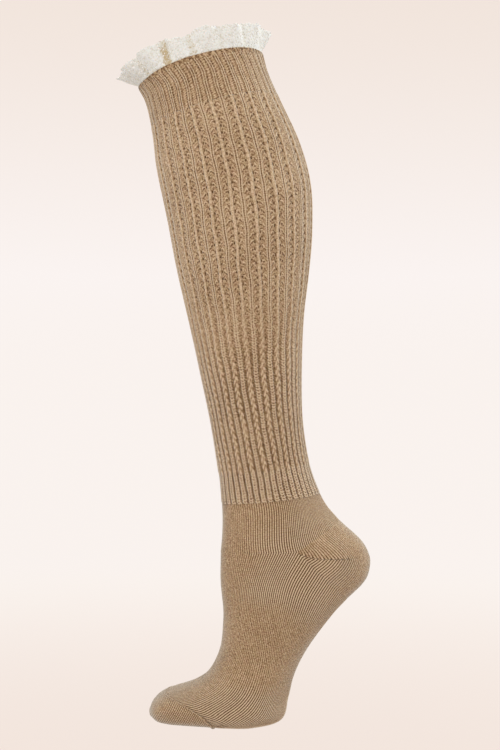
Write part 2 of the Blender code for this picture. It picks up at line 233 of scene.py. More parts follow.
class Tube:
    """Smooth surface through a table of sections."""

    ANGLES = np.linspace(0.0, math.pi / 2, 161)
    STEP = 1.0 * MM
    WALE_STEP = 0.1

    def __init__(self, sections: tuple[Section, ...]) -> None:
        """Read the sections and measure the distances between them.

        Args:
            sections: The rings of cloth, from one end to the other.
        """
        self.rows = np.array([section[1:] for section in sections], dtype=float)
        self.rows[:, :7] *= MM
        self.names = [section.name for section in sections]
        steps = np.diff(self.rows[:, :6], axis=0).reshape(-1, 3, 2)
        lengths = np.linalg.norm(steps, axis=2).mean(axis=1)
        self.knots = np.concatenate(([0.0], np.cumsum(lengths)))
        self.slopes = np.gradient(self.rows, self.knots, axis=0)

    def place(self, name: str) -> float:
        """Distance of a named section along the tube."""
        return float(self.knots[self.names.index(name)])

    def section(self, along: np.ndarray) -> np.ndarray:
        """Section values at distances along the tube, by cubic interpolation.

        Args:
            along: Distances from the first section, in metres.

        Returns:
            One row of section values for each distance.
        """
        last = len(self.knots) - 2
        index = np.clip(np.searchsorted(self.knots, along) - 1, 0, last)
        span = (self.knots[index + 1] - self.knots[index])[:, None]
        step = (along - self.knots[index])[:, None] / span
        value_a, value_b = self.rows[index], self.rows[index + 1]
        slope_a, slope_b = self.slopes[index] * span, self.slopes[index + 1] * span
        cubic = 2.0 * (value_a - value_b) + slope_a + slope_b
        square = -3.0 * (value_a - value_b) - 2.0 * slope_a - slope_b
        return ((cubic * step + square) * step + slope_a) * step + value_a

    def points(self, wale: np.ndarray, along: np.ndarray) -> np.ndarray:
        """Points of the smooth surface.

        Args:
            wale: Wales round the tube, one for each point.
            along: Distances along the tube, one for each point.

        Returns:
            An array with a row (x, y, z) for each point.
        """
        places, ring = np.unique(along, return_inverse=True)
        values = self.section(places)
        folded = folded_wales(wale)
        side = -near_side(wale)
        order = np.argsort(ring, kind="stable")
        bounds = np.searchsorted(ring[order], np.arange(len(places) + 1))
        result = np.zeros((len(along), 3))
        for number, value in enumerate(values):
            chosen = order[bounds[number]:bounds[number + 1]]
            result[chosen] = self._ring(value, folded[chosen], side[chosen])
        return result

    def _ring(self, values: np.ndarray, folded: np.ndarray, side: np.ndarray) -> np.ndarray:
        """Points of one ring, at wales counted from its front.

        Args:
            values: The ring's section values.
            folded: Wales from the front, for each point.
            side: -1 on the near side and 1 on the far side, for each point.

        Returns:
            A row (x, y, z) for each point.
        """
        middle = values[2:4]
        in_front = folded <= FRONT_WALES
        front_share = np.clip(folded / FRONT_WALES, 0.0, 1.0)
        back_share = np.clip((BACK_WALE - folded) / BACK_WALES, 0.0, 1.0)
        front = self._quarter(values[0:2] - middle, values[6], values[7], front_share)
        back = self._quarter(values[4:6] - middle, values[6], values[8], back_share)
        reach = middle + np.where(in_front[:, None], front[:, :2], back[:, :2])
        width = side * np.where(in_front, front[:, 2], back[:, 2])
        return np.column_stack((reach[:, 0], width, reach[:, 1]))

    def _quarter(
        self, arm: np.ndarray, half_width: float, power: float, share: np.ndarray
    ) -> np.ndarray:
        """Even steps of length round a quarter oval, from its end to its side.

        Args:
            arm: From the middle of the ring to its end, in the plane of symmetry.
            half_width: Reach of the ring to its side.
            power: Power of the oval, 2 for an ellipse.
            share: 0 at the end and 1 at the side, for each point.

        Returns:
            The in-plane reach, two columns, and the width, for each point.
        """
        ahead = np.linalg.norm(arm) * np.cos(self.ANGLES) ** (2.0 / power)
        aside = half_width * np.sin(self.ANGLES) ** (2.0 / power)
        steps = np.hypot(np.diff(ahead), np.diff(aside))
        lengths = np.concatenate(([0.0], np.cumsum(steps)))
        angle = np.interp(share * lengths[-1], lengths, self.ANGLES)
        forward = np.abs(np.cos(angle)) ** (2.0 / power)
        width = half_width * np.abs(np.sin(angle)) ** (2.0 / power)
        return np.column_stack((forward[:, None] * arm, width))

    def down(self, wale: np.ndarray, along: np.ndarray) -> np.ndarray:
        """Unit vectors along the tube, away from its first section."""
        high = np.minimum(along + self.STEP, self.knots[-1])
        return unit(self.points(wale, high) - self.points(wale, along - self.STEP))

    def normals(self, wale: np.ndarray, along: np.ndarray) -> np.ndarray:
        """Outward unit normals of the smooth surface.

        Args:
            wale: Wale of each point.
            along: Distance of each point along the tube, in metres.

        Returns:
            A row (x, y, z) for each point.
        """
        after = self.points(wale + self.WALE_STEP, along)
        before = self.points(wale - self.WALE_STEP, along)
        return unit(np.cross(self.down(wale, along), after - before))


def heel_tube() -> Tube:
    """Surface of the heel pocket: half rings that turn about the gore's apex.

    Returns:
        The tube, whose first and last rings are the two edges of the gore.
    """
    top = LEG_SECTIONS[-1]
    return Tube(tuple(
        top._replace(name=f"heel_{place}", back_x=x, back_z=z)
        for place, (x, z) in enumerate(HEEL_OUTLINE)
    ))


# --------------------------------------------------------------------------------
# Finishes


class Channel:
    """One number in a shader, worked on by Math nodes."""

    def __init__(self, tree: bpy.types.NodeTree, socket: bpy.types.NodeSocket) -> None:
        """Wrap a socket of a node tree."""
        self.tree = tree
        self.socket = socket

    def math(self, operation: str, *others: "Channel | float") -> "Channel":
        """Add a Math node.

        Args:
            operation: The node's operation.
            others: Its further inputs, as channels or plain numbers.

        Returns:
            The node's output as a channel.
        """
        node = self.tree.nodes.new("ShaderNodeMath")
        node.operation = operation
        fill(node, dict(enumerate((self, *others))))
        return Channel(self.tree, node.outputs[0])

    def __add__(self, other: "Channel | float") -> "Channel":
        """Sum."""
        return self.math("ADD", other)

    def __sub__(self, other: "Channel | float") -> "Channel":
        """Difference."""
        return self.math("SUBTRACT", other)

    def __mul__(self, other: "Channel | float") -> "Channel":
        """Product."""
        return self.math("MULTIPLY", other)

    def rest(self) -> "Channel":
        """One minus the value."""
        return self * -1.0 + 1.0

    def wrap(self, period: float) -> "Channel":
        """Signed offset from the nearest multiple of a period."""
        return self.math("WRAP", period / 2, -period / 2)

    def size(self) -> "Channel":
        """Absolute value."""
        return self.math("ABSOLUTE")

    def wave(self) -> "Channel":
        """Cosine of whole turns, scaled to run from 0 to 1."""
        return (self * math.tau).math("COSINE") * 0.5 + 0.5

    def step(self, low: float, high: float) -> "Channel":
        """Smooth step from 0 at low to 1 at high; low may be above high.

        Args:
            low: Value where the step starts.
            high: Value where it ends.

        Returns:
            The step as a channel.
        """
        node = self.tree.nodes.new("ShaderNodeMapRange")
        node.interpolation_type = "SMOOTHSTEP"
        fill(node, {"Value": self, "From Min": min(low, high), "From Max": max(low, high)})
        result = Channel(self.tree, node.outputs["Result"])
        return result.rest() if low > high else result

    def most(self, other: "Channel | float") -> "Channel":
        """The larger of two values."""
        return self.math("MAXIMUM", other)

    def blend(self, other: "Channel", share: "Channel") -> "Channel":
        """This value where share is 0, the other where it is 1."""
        return self * share.rest() + other * share

    def spot(self, other: "Channel") -> "Channel":
        """1 at the centre of a round spot and 0 from its edge on."""
        return (self * self + other * other).step(1.3, 0.45)


def fill(node: bpy.types.Node, inputs: dict[str | int, object]) -> None:
    """Link or set a node's inputs.

    Args:
        node: The node.
        inputs: A channel, a socket or a plain value for each input.
    """
    for place, value in inputs.items():
        if isinstance(value, Channel):
            value = value.socket
        if isinstance(value, bpy.types.NodeSocket):
            node.id_data.links.new(value, node.inputs[place])
        else:
            node.inputs[place].default_value = value


class Cloth:
    """What every cloth shader reads: noise and the mesh's own attributes."""

    def __init__(self, tree: bpy.types.NodeTree) -> None:
        """Start on a material's node tree."""
        self.tree = tree

    def attribute(self, name: str) -> Channel:
        """One of the mesh's own number attributes.

        Args:
            name: The attribute's name.

        Returns:
            Its value as a channel.
        """
        node = self.tree.nodes.new("ShaderNodeAttribute")
        node.attribute_name = name
        return Channel(self.tree, node.outputs["Fac"])

    def noise(self, size: float, detail: float = 2.0) -> Channel:
        """Noise in object space, from 0 to 1.

        Args:
            size: Size of its spots in metres.
            detail: Octaves.

        Returns:
            The noise as a channel.
        """
        coordinates = self.tree.nodes.new("ShaderNodeTexCoord")
        node = self.tree.nodes.new("ShaderNodeTexNoise")
        fill(node, {"Scale": 1.0 / size, "Detail": detail, "Vector": coordinates.outputs["Object"]})
        return Channel(self.tree, node.outputs["Fac"])


class Stitches(Cloth):
    """Cloth with a stitch map: wales across and rows along."""

    def __init__(self, tree: bpy.types.NodeTree) -> None:
        """Read the stitch map.

        Args:
            tree: The material's node tree.
        """
        super().__init__(tree)
        stitch_map = tree.nodes.new("ShaderNodeUVMap")
        stitch_map.uv_map = "stitches"
        split = tree.nodes.new("ShaderNodeSeparateXYZ")
        fill(split, {0: stitch_map.outputs[0]})
        self.wale = Channel(tree, split.outputs[0])
        self.row = Channel(tree, split.outputs[1])

    def streaks(self, width: float, length: float) -> Channel:
        """Noise drawn out along the wales, from 0 to 1.

        Args:
            width: Width of its streaks in wales.
            length: Their length in rows.

        Returns:
            The noise as a channel.
        """
        place = self.tree.nodes.new("ShaderNodeCombineXYZ")
        fill(place, {0: self.wale * (1.0 / width), 1: self.row * (1.0 / length)})
        node = self.tree.nodes.new("ShaderNodeTexNoise")
        fill(node, {"Scale": 1.0, "Detail": 1.0, "Vector": place.outputs[0]})
        return Channel(self.tree, node.outputs["Fac"])


Stops = tuple[tuple[float, tuple[float, float, float]], ...]


def new_material(name: str) -> tuple[bpy.types.Material, bpy.types.NodeTree, bpy.types.Node]:
    """Make a material with one Principled shader.

    Args:
        name: The material's name.

    Returns:
        The material, its node tree and its shader node.
    """
    material = bpy.data.materials.new(name)
    material.use_nodes = True
    tree = material.node_tree
    return material, tree, tree.nodes["Principled BSDF"]


def ramp(value: Channel, stops: Stops) -> bpy.types.NodeSocket:
    """Colour ramp over a channel.

    Args:
        value: The channel that picks the colour.
        stops: Place and linear colour of each stop.

    Returns:
        The ramp's colour output.
    """
    node = value.tree.nodes.new("ShaderNodeValToRGB")
    fill(node, {"Fac": value})
    elements = node.color_ramp.elements
    while len(elements) < len(stops):
        elements.new(0.5)
    for element, (place, colour) in zip(elements, stops):
        element.position = place
        element.color = (*colour, 1.0)
    return node.outputs["Color"]


def add_bump(shader: bpy.types.Node, height: Channel, distance: float) -> None:
    """Raise the shader's surface by a height field.

    Args:
        shader: The Principled node.
        height: The field, from 0 to 1.
        distance: Its full height in metres.
    """
    bump = height.tree.nodes.new("ShaderNodeBump")
    fill(bump, {"Strength": 1.0, "Distance": distance, "Height": height})
    fill(shader, {"Normal": bump.outputs["Normal"]})


class Knit(Enum):
    """Which knit a finish shows."""

    CUFF = "cuff"
    OPENWORK = "openwork"
    ANKLE_RIB = "ankle rib"
    PLAIN = "plain"


# Colours of the knit by stitch height: the darkest stops are painted shade in its deep stitches.
CAMEL: Stops = (
    (0.00, (0.100, 0.052, 0.022)),
    (0.30, (0.245, 0.150, 0.075)),
    (0.65, (0.425, 0.300, 0.178)),
    (1.00, (0.610, 0.475, 0.325)),
)


@dataclass(frozen=True)
class CottonKnit:
    """Matt camel cotton with painted shade between its stitches, fuzzy at grazing angles."""

    name: str
    kind: Knit
    colours: Stops = CAMEL
    relief: float = 0.35 * MM
    roughness: float = 0.92
    sheen: float = 0.64
    fleck: float = 0.50
    contrast: float = 0.80
    level: float = 0.0
    column: float = 0.80
    course: float = 0.15
    rim_row: float = -5.73
    sheen_roughness: float = 0.40
    sheen_tint: tuple[float, ...] = (0.76, 0.90, 0.92, 1.0)
    specular: float = 0.15
    fibre: float = 1.1 * MM
    cloud: float = 24 * MM

    def height(self, cloth: Stitches) -> Channel:
        """Stitch height of this knit: 0 is deep and 1 is raised; the colour follows it, with painted
        shade where it is deep.

        Args:
            cloth: The shader's cloth.

        Returns:
            The stitch height as a channel.
        """
        if self.kind is Knit.CUFF:
            return self._cuff(cloth)
        if self.kind is Knit.OPENWORK:
            return self._openwork(cloth)
        if self.kind is Knit.ANKLE_RIB:
            return self._ankle_rib(cloth)
        return self._plain(cloth)

    @staticmethod
    def _fine_rib(cloth: Stitches, away: Channel) -> Channel:
        """A single knit wale: two thin light legs with a slotted dark line between.

        Args:
            cloth: The shader's cloth.
            away: Wales from the middle of the rib.

        Returns:
            The stitch height as a channel.
        """
        slots = (cloth.row * COURSES_SEEN).wave()
        legs = (away - 0.48).size().step(0.34, 0.12) * (slots * 0.18 + 0.84)
        return legs + away.step(0.30, 0.08) * (slots * 0.36 + 0.10)

    @staticmethod
    def _closed_rib(cloth: Stitches, away: Channel, edge: float) -> Channel:
        """A closed-up rib: a chain of small dark dots, over a groove of slanted dashes.

        Args:
            cloth: The shader's cloth.
            away: Wales from the middle of the rib.
            edge: Wales from its middle to its edge.

        Returns:
            The stitch height as a channel.
        """
        stray = cloth.streaks(1.6, 0.5) - 0.5
        dash = (cloth.row * CLOSED_COURSES - cloth.wale * 0.50 + stray).wave()
        dash = dash * dash
        dots = (cloth.row * CLOSED_COURSES + stray + 0.2).wave()
        body = (away + dash * 0.66).step(edge + 0.34, edge)
        crest = body * (away.step(0.95, 0.30) * dots * -1.05 + 1.22)
        rough = cloth.noise(0.9 * MM, 1.0).step(0.34, 0.66) - 0.5
        return crest.most(dash.rest() * 0.46 - 0.10) + rough * 0.42

    def _ankle_rib(self, cloth: Stitches) -> Channel:
        """Closed-up ribs side by side, wandering a little."""
        stray = cloth.streaks(3.0, 0.8) - 0.5
        return self._closed_rib(cloth, (cloth.wale + stray * 0.5).wrap(RIB).size(), 1.34)

    def _plain(self, cloth: Stitches) -> Channel:
        """Stocking stitch: light columns with dotted dark gaps, softer where loose.

        Args:
            cloth: The shader's cloth.

        Returns:
            The stitch height as a channel.
        """
        away = cloth.wale.wrap(1.0).size()
        stray = cloth.noise(3.0 * MM, 1.0) * 1.6
        leg = (cloth.row - away * 0.9 + stray).wave()
        grain = cloth.noise(0.8 * MM, 1.0).step(0.32, 0.68) * 0.60 + 0.16
        stitch = away.step(0.40, 0.18) * (leg * 0.10 + self.column) + leg * self.course - 0.04
        return grain.blend(stitch, cloth.attribute("firm"))

    def _cuff(self, cloth: Stitches) -> Channel:
        """Fine ribs over ladders of short dashes, under a beaded binding.

        Args:
            cloth: The shader's cloth.

        Returns:
            The stitch height as a channel.
        """
        away = cloth.wale.wrap(RIB).size()
        rungs = (cloth.row * COURSES_SEEN + cloth.wale * 0.35).wave()
        dots = ((away - 1.06) * 2.2).spot((cloth.row * COURSES_SEEN + 0.3).wrap(1.0) * 2.0)
        ground = (rungs * 0.32 + 0.50 - dots * 0.46) * away.step(0.62, 0.85)
        binding = cloth.row.step(self.rim_row + 0.50, self.rim_row + 0.34)
        stray = cloth.noise(3.0 * MM, 1.0) - 0.5
        bead = (cloth.wale * 0.4 + stray * 1.6).wave() * 0.62 + 0.02
        return self._fine_rib(cloth, away).most(ground).blend(bead, binding)

    def _looped_ground(self, cloth: Stitches, beside: Channel, row: Channel) -> Channel:
        """Purl ground beside a rope: an arch of thread in each repeat, and dots of shadow.

        Args:
            cloth: The shader's cloth.
            beside: Wales from the middle of the rope.
            row: Repeats down the leg.

        Returns:
            The stitch height as a channel.
        """
        stray = cloth.noise(2.0 * MM, 1.5) - 0.5
        row = row + stray * 0.85
        bend = beside + stray * 1.8 - 2.00
        arch = row - bend * bend * ARCH_BEND
        thread = (arch + ARCH_START).wave()
        light = thread * thread * 0.18 + (arch * 2.0 + 0.30).wave() * 0.30 + 0.42
        inner = (bend * 3.0).spot((row - 0.16).wrap(1.0) * 7.0)
        outer = ((bend - 0.70) * 3.0).spot((row - 0.44).wrap(1.0) * 7.0)
        lower = ((bend + 0.40) * 3.2).spot((row + 0.38).wrap(1.0) * 7.5)
        return light - inner * 0.44 - outer * 0.42 - lower * 0.32

    def _openwork(self, cloth: Stitches) -> Channel:
        """Ropes and fine ribs by turns, with eyelets; closed up below, the ropes split.

        Args:
            cloth: The shader's cloth.

        Returns:
            The stitch height as a channel.
        """
        ease = cloth.attribute("ease")
        across = cloth.wale.wrap(REPEAT)
        beside = across.size()
        away = (cloth.wale + REPEAT / 2).wrap(REPEAT).size()
        row = cloth.row + across.step(-ROPE_MIDDLE, ROPE_MIDDLE) * STAGGER - STAGGER / 2
        streaks = cloth.streaks(0.34, 0.40).step(0.32, 0.68)
        ground = self._looped_ground(cloth, beside, row) * away.step(0.62, 0.85)
        eyelet = ((beside - 1.02) * 2.8).spot(row.wrap(1.0) * 4.8)
        rope = beside.step(0.74, 0.46) * (streaks * 0.40 + 0.58)
        loose = (ground * beside.step(0.50, 0.78)).most(self._fine_rib(cloth, away)).most(rope)
        # Painted shade in the eyelets.
        loose = loose * (eyelet * (streaks * -0.35 - 0.62) + 1.0)
        fork = across.step(-BRAID_MIDDLE, BRAID_MIDDLE) * 0.5
        leaf = (cloth.row + fork - beside * LEAF_LEAN).wave()
        ragged = beside + cloth.noise(1.4 * MM, 1.0) * 0.9 - 0.45 - leaf * 0.22
        braid = ragged.step(1.36, 1.00) * (leaf * 0.66 + streaks * 0.38 + 0.16)
        close = self._closed_rib(cloth, away, 1.12).most(braid)
        return loose.blend(close, ease)

    def make(self) -> bpy.types.Material:
        """Build the material.

        Returns:
            The node-based material.
        """
        material, tree, shader = new_material(self.name)
        cloth = Stitches(tree)
        height = self.height(cloth)
        fibres = cloth.noise(self.fibre, 1.5).step(0.30, 0.70)
        cloud = cloth.noise(self.cloud)
        # Colour follows stitch height and the crest number: painted shade in deep stitches and hollows,
        # painted highlight on crests.
        shade = height * self.contrast + cloth.attribute("crest") * 0.10 + self.level
        shade = shade + (fibres - 0.5) * self.fleck + (cloud - 0.5) * 0.16
        # Painted shade from the shadow number, and painted light where it is below zero.
        shade = shade - cloth.attribute("shadow") * 0.55
        hue = tree.nodes.new("ShaderNodeHueSaturation")
        warmth = cloth.noise(3.5 * MM, 1.0) * 0.03 + 0.484
        fill(hue, {"Hue": warmth, "Color": ramp(shade, self.colours)})
        add_bump(shader, height + fibres * 0.20, self.relief)
        fill(shader, {
            "Base Color": hue.outputs["Color"],
            "Roughness": self.roughness,
            "Sheen Weight": self.sheen,
            "Sheen Roughness": self.sheen_roughness,
            "Sheen Tint": self.sheen_tint,
            "Specular IOR Level": self.specular,
        })
        return material


@dataclass(frozen=True)
class CottonLace:
    """Cream cotton lace of looped thread, with painted warm shade where it is folded in and in the gaps
    of its net.
    """

    name: str
    threads: Stops = (
        # The first stop is the warm painted shade of the folds.
        (0.0, (0.46, 0.37, 0.22)),
        (0.42, (0.64, 0.64, 0.58)),
        (1.0, (0.79, 0.83, 0.83)),
    )
    relief: float = 0.3 * MM
    roughness: float = 0.85
    sheen: float = 0.25
    glow: float = 0.12
    glow_reach: tuple[float, ...] = (4.0 * MM, 3.0 * MM, 2.0 * MM)
    specular: float = 0.2

    def make(self) -> bpy.types.Material:
        """Build the material.

        Returns:
            The node-based material.
        """
        material, tree, shader = new_material(self.name)
        cloth = Cloth(tree)
        loops = cloth.noise(1.6 * MM)
        cloud = cloth.noise(6 * MM)
        # Painted shade: dark spots of the loops stand for shaded gaps in the net, and the tuck number
        # darkens folds and the rim.
        tuck = cloth.attribute("tuck")
        shade = loops.step(0.32, 0.56) * 0.44 + cloud * 0.26 + 0.29 - tuck * 0.72
        add_bump(shader, loops, self.relief)
        fill(shader, {
            "Base Color": ramp(shade, self.threads),
            "Roughness": self.roughness,
            "Sheen Weight": self.sheen,
            "Subsurface Weight": self.glow,
            "Subsurface Radius": self.glow_reach,
            "Specular IOR Level": self.specular,
        })
        return material


@dataclass(frozen=True)
class StudioPaper:
    """Pale paper that gives back a little light and glows with painted light, darker mid-floor and up
    the wall.
    """

    name: str
    floor_reach: tuple[float, float] = (0.30, 2.20)
    wall_rise: tuple[float, float] = (-0.30, 0.95)
    painted_glow_stops: Stops = (
        (0.00, (0.786, 0.688, 0.634)),
        (0.45, (0.865, 0.810, 0.775)),
        (0.58, (0.877, 0.827, 0.813)),
        (1.00, (0.800, 0.705, 0.645)),
    )
    paper: tuple[float, ...] = (0.080, 0.075, 0.070, 1.0)

    def make(self) -> bpy.types.Material:
        """Build the material.

        Returns:
            The node-based material.
        """
        material, tree, shader = new_material(self.name)
        coordinates = tree.nodes.new("ShaderNodeTexCoord")
        split = tree.nodes.new("ShaderNodeSeparateXYZ")
        fill(split, {0: coordinates.outputs["Object"]})
        x, y, z = (Channel(tree, output) for output in split.outputs)
        # Painted light: darker near the middle of the floor and towards the top of the wall.
        reach = (x * x + y * y).math("SQRT").step(*self.floor_reach)
        shade = reach * 0.5 + z.step(*self.wall_rise) * 0.5
        fill(shader, {
            "Emission Color": ramp(shade, self.painted_glow_stops),
            "Emission Strength": 1.0,
            "Base Color": self.paper,
            "Roughness": 1.0,
            "Specular IOR Level": 0.0,
        })
        return material


# --------------------------------------------------------------------------------
# Knitted pieces


class Row(NamedTuple):
    """A row of a sheet's grid."""

    along: float
    relief: float
    height: float
    lift: float


def ribbed_columns() -> np.ndarray:
    """Wales of the columns of a ribbed sheet, closer on its ropes and ribs.

    Returns:
        The wales, in order round the tube.
    """
    rope = (0.32, 0.60, 0.85)
    ground = (1.08, 1.35, 1.75, 2.40)
    rib = (3.16, 3.46, 3.76, 4.0, 4.24, 4.54, 4.84)
    beyond = tuple(REPEAT - wale for wale in reversed(rope + ground))
    one = np.array((0.0,) + rope + ground + rib + beyond)
    starts = np.arange(0, WALES, REPEAT)
    return np.append((starts[:, None] + one).ravel(), WALES)


def even_columns(count: int) -> np.ndarray:
    """Wales of evenly spaced columns, all round the tube."""
    return np.linspace(0.0, WALES, count + 1)


def write_numbers(data: bpy.types.Mesh, name: str, values: np.ndarray) -> None:
    """Give every vertex of a mesh a number of its own."""
    attribute = data.attributes.new(name, "FLOAT", "POINT")
    attribute.data.foreach_set("value", values.astype(np.float32))


def write_stitches(data: bpy.types.Mesh, stitches: np.ndarray) -> None:
    """Write the stitch map from the wale and row of every vertex.

    Args:
        data: The mesh.
        stitches: Wale and row of every vertex, in two columns.
    """
    layer = data.uv_layers.new(name="stitches")
    corners = np.zeros(len(data.loops), dtype=np.int32)
    data.loops.foreach_get("vertex_index", corners)
    layer.data.foreach_set("uv", stitches[corners].astype(np.float32).ravel())


def smooth_mesh(mesh: bmesh.types.BMesh, name: str) -> bpy.types.Mesh:
    """Turn a bmesh into a smooth-shaded mesh and free it.

    Args:
        mesh: The bmesh.
        name: The new mesh's name.

    Returns:
        The mesh.
    """
    data = bpy.data.meshes.new(name)
    mesh.to_mesh(data)
    mesh.free()
    data.shade_smooth()
    return data


def grid_mesh(name: str, columns: int, rows: int) -> bpy.types.Mesh:
    """A flat grid with the given numbers of columns and rows of vertices.

    Args:
        name: The mesh's name.
        columns: Vertices in each row.
        rows: Rows of vertices.

    Returns:
        The grid's mesh.
    """
    mesh = bmesh.new()
    bmesh.ops.create_grid(mesh, x_segments=columns - 1, y_segments=rows - 1, size=0.5)
    return smooth_mesh(mesh, name)


def weld(data: bpy.types.Mesh, columns: int, creases: tuple[int, ...] = ()) -> None:
    """Join a grid's coincident vertices and turn its faces outwards.

    Args:
        data: A grid mesh laid in place.
        columns: Vertices in each of its rows.
        creases: Rows whose edges stay sharp.
    """
    mesh = bmesh.new()
    mesh.from_mesh(data)
    for edge in mesh.edges:
        first, second = (vert.index // columns for vert in edge.verts)
        edge.smooth = first != second or first not in creases
    bmesh.ops.remove_doubles(mesh, verts=mesh.verts, dist=WELD)
    loose = [edge for edge in mesh.edges if not edge.link_faces]
    bmesh.ops.delete(mesh, geom=loose, context="EDGES")
    bmesh.ops.recalc_face_normals(mesh, faces=mesh.faces)
    mesh.to_mesh(data)
    mesh.free()
    data.shade_smooth()


def place_piece(data: bpy.types.Mesh, finish: bpy.types.Material) -> bpy.types.Object:
    """Make an object of a mesh that already lies in place, riding on the sock.

    Args:
        data: The mesh, in world coordinates, named as its piece.
        finish: Its material.

    Returns:
        The object.
    """
    data.materials.append(finish)
    piece = bpy.data.objects.new(data.name, data)
    bpy.context.scene.collection.objects.link(piece)
    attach(piece, BODY)
    LOG.info("%s: %d faces", data.name, len(data.polygons))
    return piece


@dataclass
class KnitSheet(ABC):
    """A stretch of the knitted tube: a grid wrapped round it, outside and inside."""

    name: str
    node: str
    slot: str
    tube: Tube
    finish: bpy.types.Material
    flat: tuple[float, float]
    wales: np.ndarray
    places: np.ndarray
    inner_rows: int = 6

    def outside(self) -> list[Row]:
        """Rows down the outside."""
        return [Row(place, 1.0, 0.0, 0.0) for place in self.places]

    def inside(self) -> list[Row]:
        """Rows back up the inside."""
        upwards = np.linspace(self.places[-1], self.places[0], self.inner_rows)
        return [Row(place, 0.0, -CLOTH, 0.0) for place in upwards]

    def creases(self) -> tuple[int, ...]:
        """Rows along the sheet's cut edges."""
        outer = len(self.outside())
        return (0, outer - 1, outer, outer + len(self.inside()) - 1)

    @abstractmethod
    def relief(self, wale: np.ndarray, along: np.ndarray) -> np.ndarray:
        """Height of the outside over the smooth surface, in metres."""

    @abstractmethod
    def stitches(self, wale: np.ndarray, along: np.ndarray) -> np.ndarray:
        """Stitch map: the wale and the row of each point, in two columns."""

    @abstractmethod
    def numbers(self, wale: np.ndarray, along: np.ndarray) -> dict[str, np.ndarray]:
        """Numbers that the finish reads at each point, by name."""

    def drift(self, wale: np.ndarray, along: np.ndarray) -> np.ndarray:
        """How far each wale strays round the tube, in wales."""
        return np.zeros(len(wale))

    def slide(self, wale: np.ndarray, along: np.ndarray) -> np.ndarray:
        """How far each point is moved along the tube, in metres."""
        return np.zeros(len(wale))

    def surface(self, wale: np.ndarray, along: np.ndarray) -> tuple[np.ndarray, np.ndarray]:
        """Smooth surface under the sheet.

        Args:
            wale: Wale of each point.
            along: Distance of each point along the tube.

        Returns:
            The points and their outward normals.
        """
        return self.tube.points(wale, along), self.tube.normals(wale, along)

    def build(self) -> bpy.types.Object:
        """Make the sheet's object, dressed and riding on the sock.

        Returns:
            The finished object.
        """
        outside = self.outside()
        rows = np.array(outside + self.inside() + outside[:1])
        across = len(self.wales)
        data = grid_mesh(self.name, across, len(rows))
        number = np.arange(len(data.vertices))
        wale = self.wales[number % across]
        along, raised, height, lift = rows[number // across].T
        strayed = wale + self.drift(wale, along)
        moved = np.round((along + self.slide(strayed, along)) / SLIDE_STEP) * SLIDE_STEP
        base, normal = self.surface(strayed, moved)
        relief = self.relief(wale, along)
        points = base + normal * (raised * relief + height)[:, None]
        if lift.any():
            points -= self.tube.down(strayed, moved) * lift[:, None]
        data.vertices.foreach_set("co", points.astype(np.float32).ravel())
        write_stitches(data, self.stitches(wale, along))
        # Painted shade in the hollows of the relief and painted highlight on its crests.
        write_numbers(data, "crest", np.clip(0.4 + relief / (1.2 * MM), 0.0, 1.0))
        for name, values in self.numbers(wale, along).items():
            write_numbers(data, name, values)
        weld(data, across, self.creases())
        piece = place_piece(data, self.finish)
        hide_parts(self.node)
        return piece


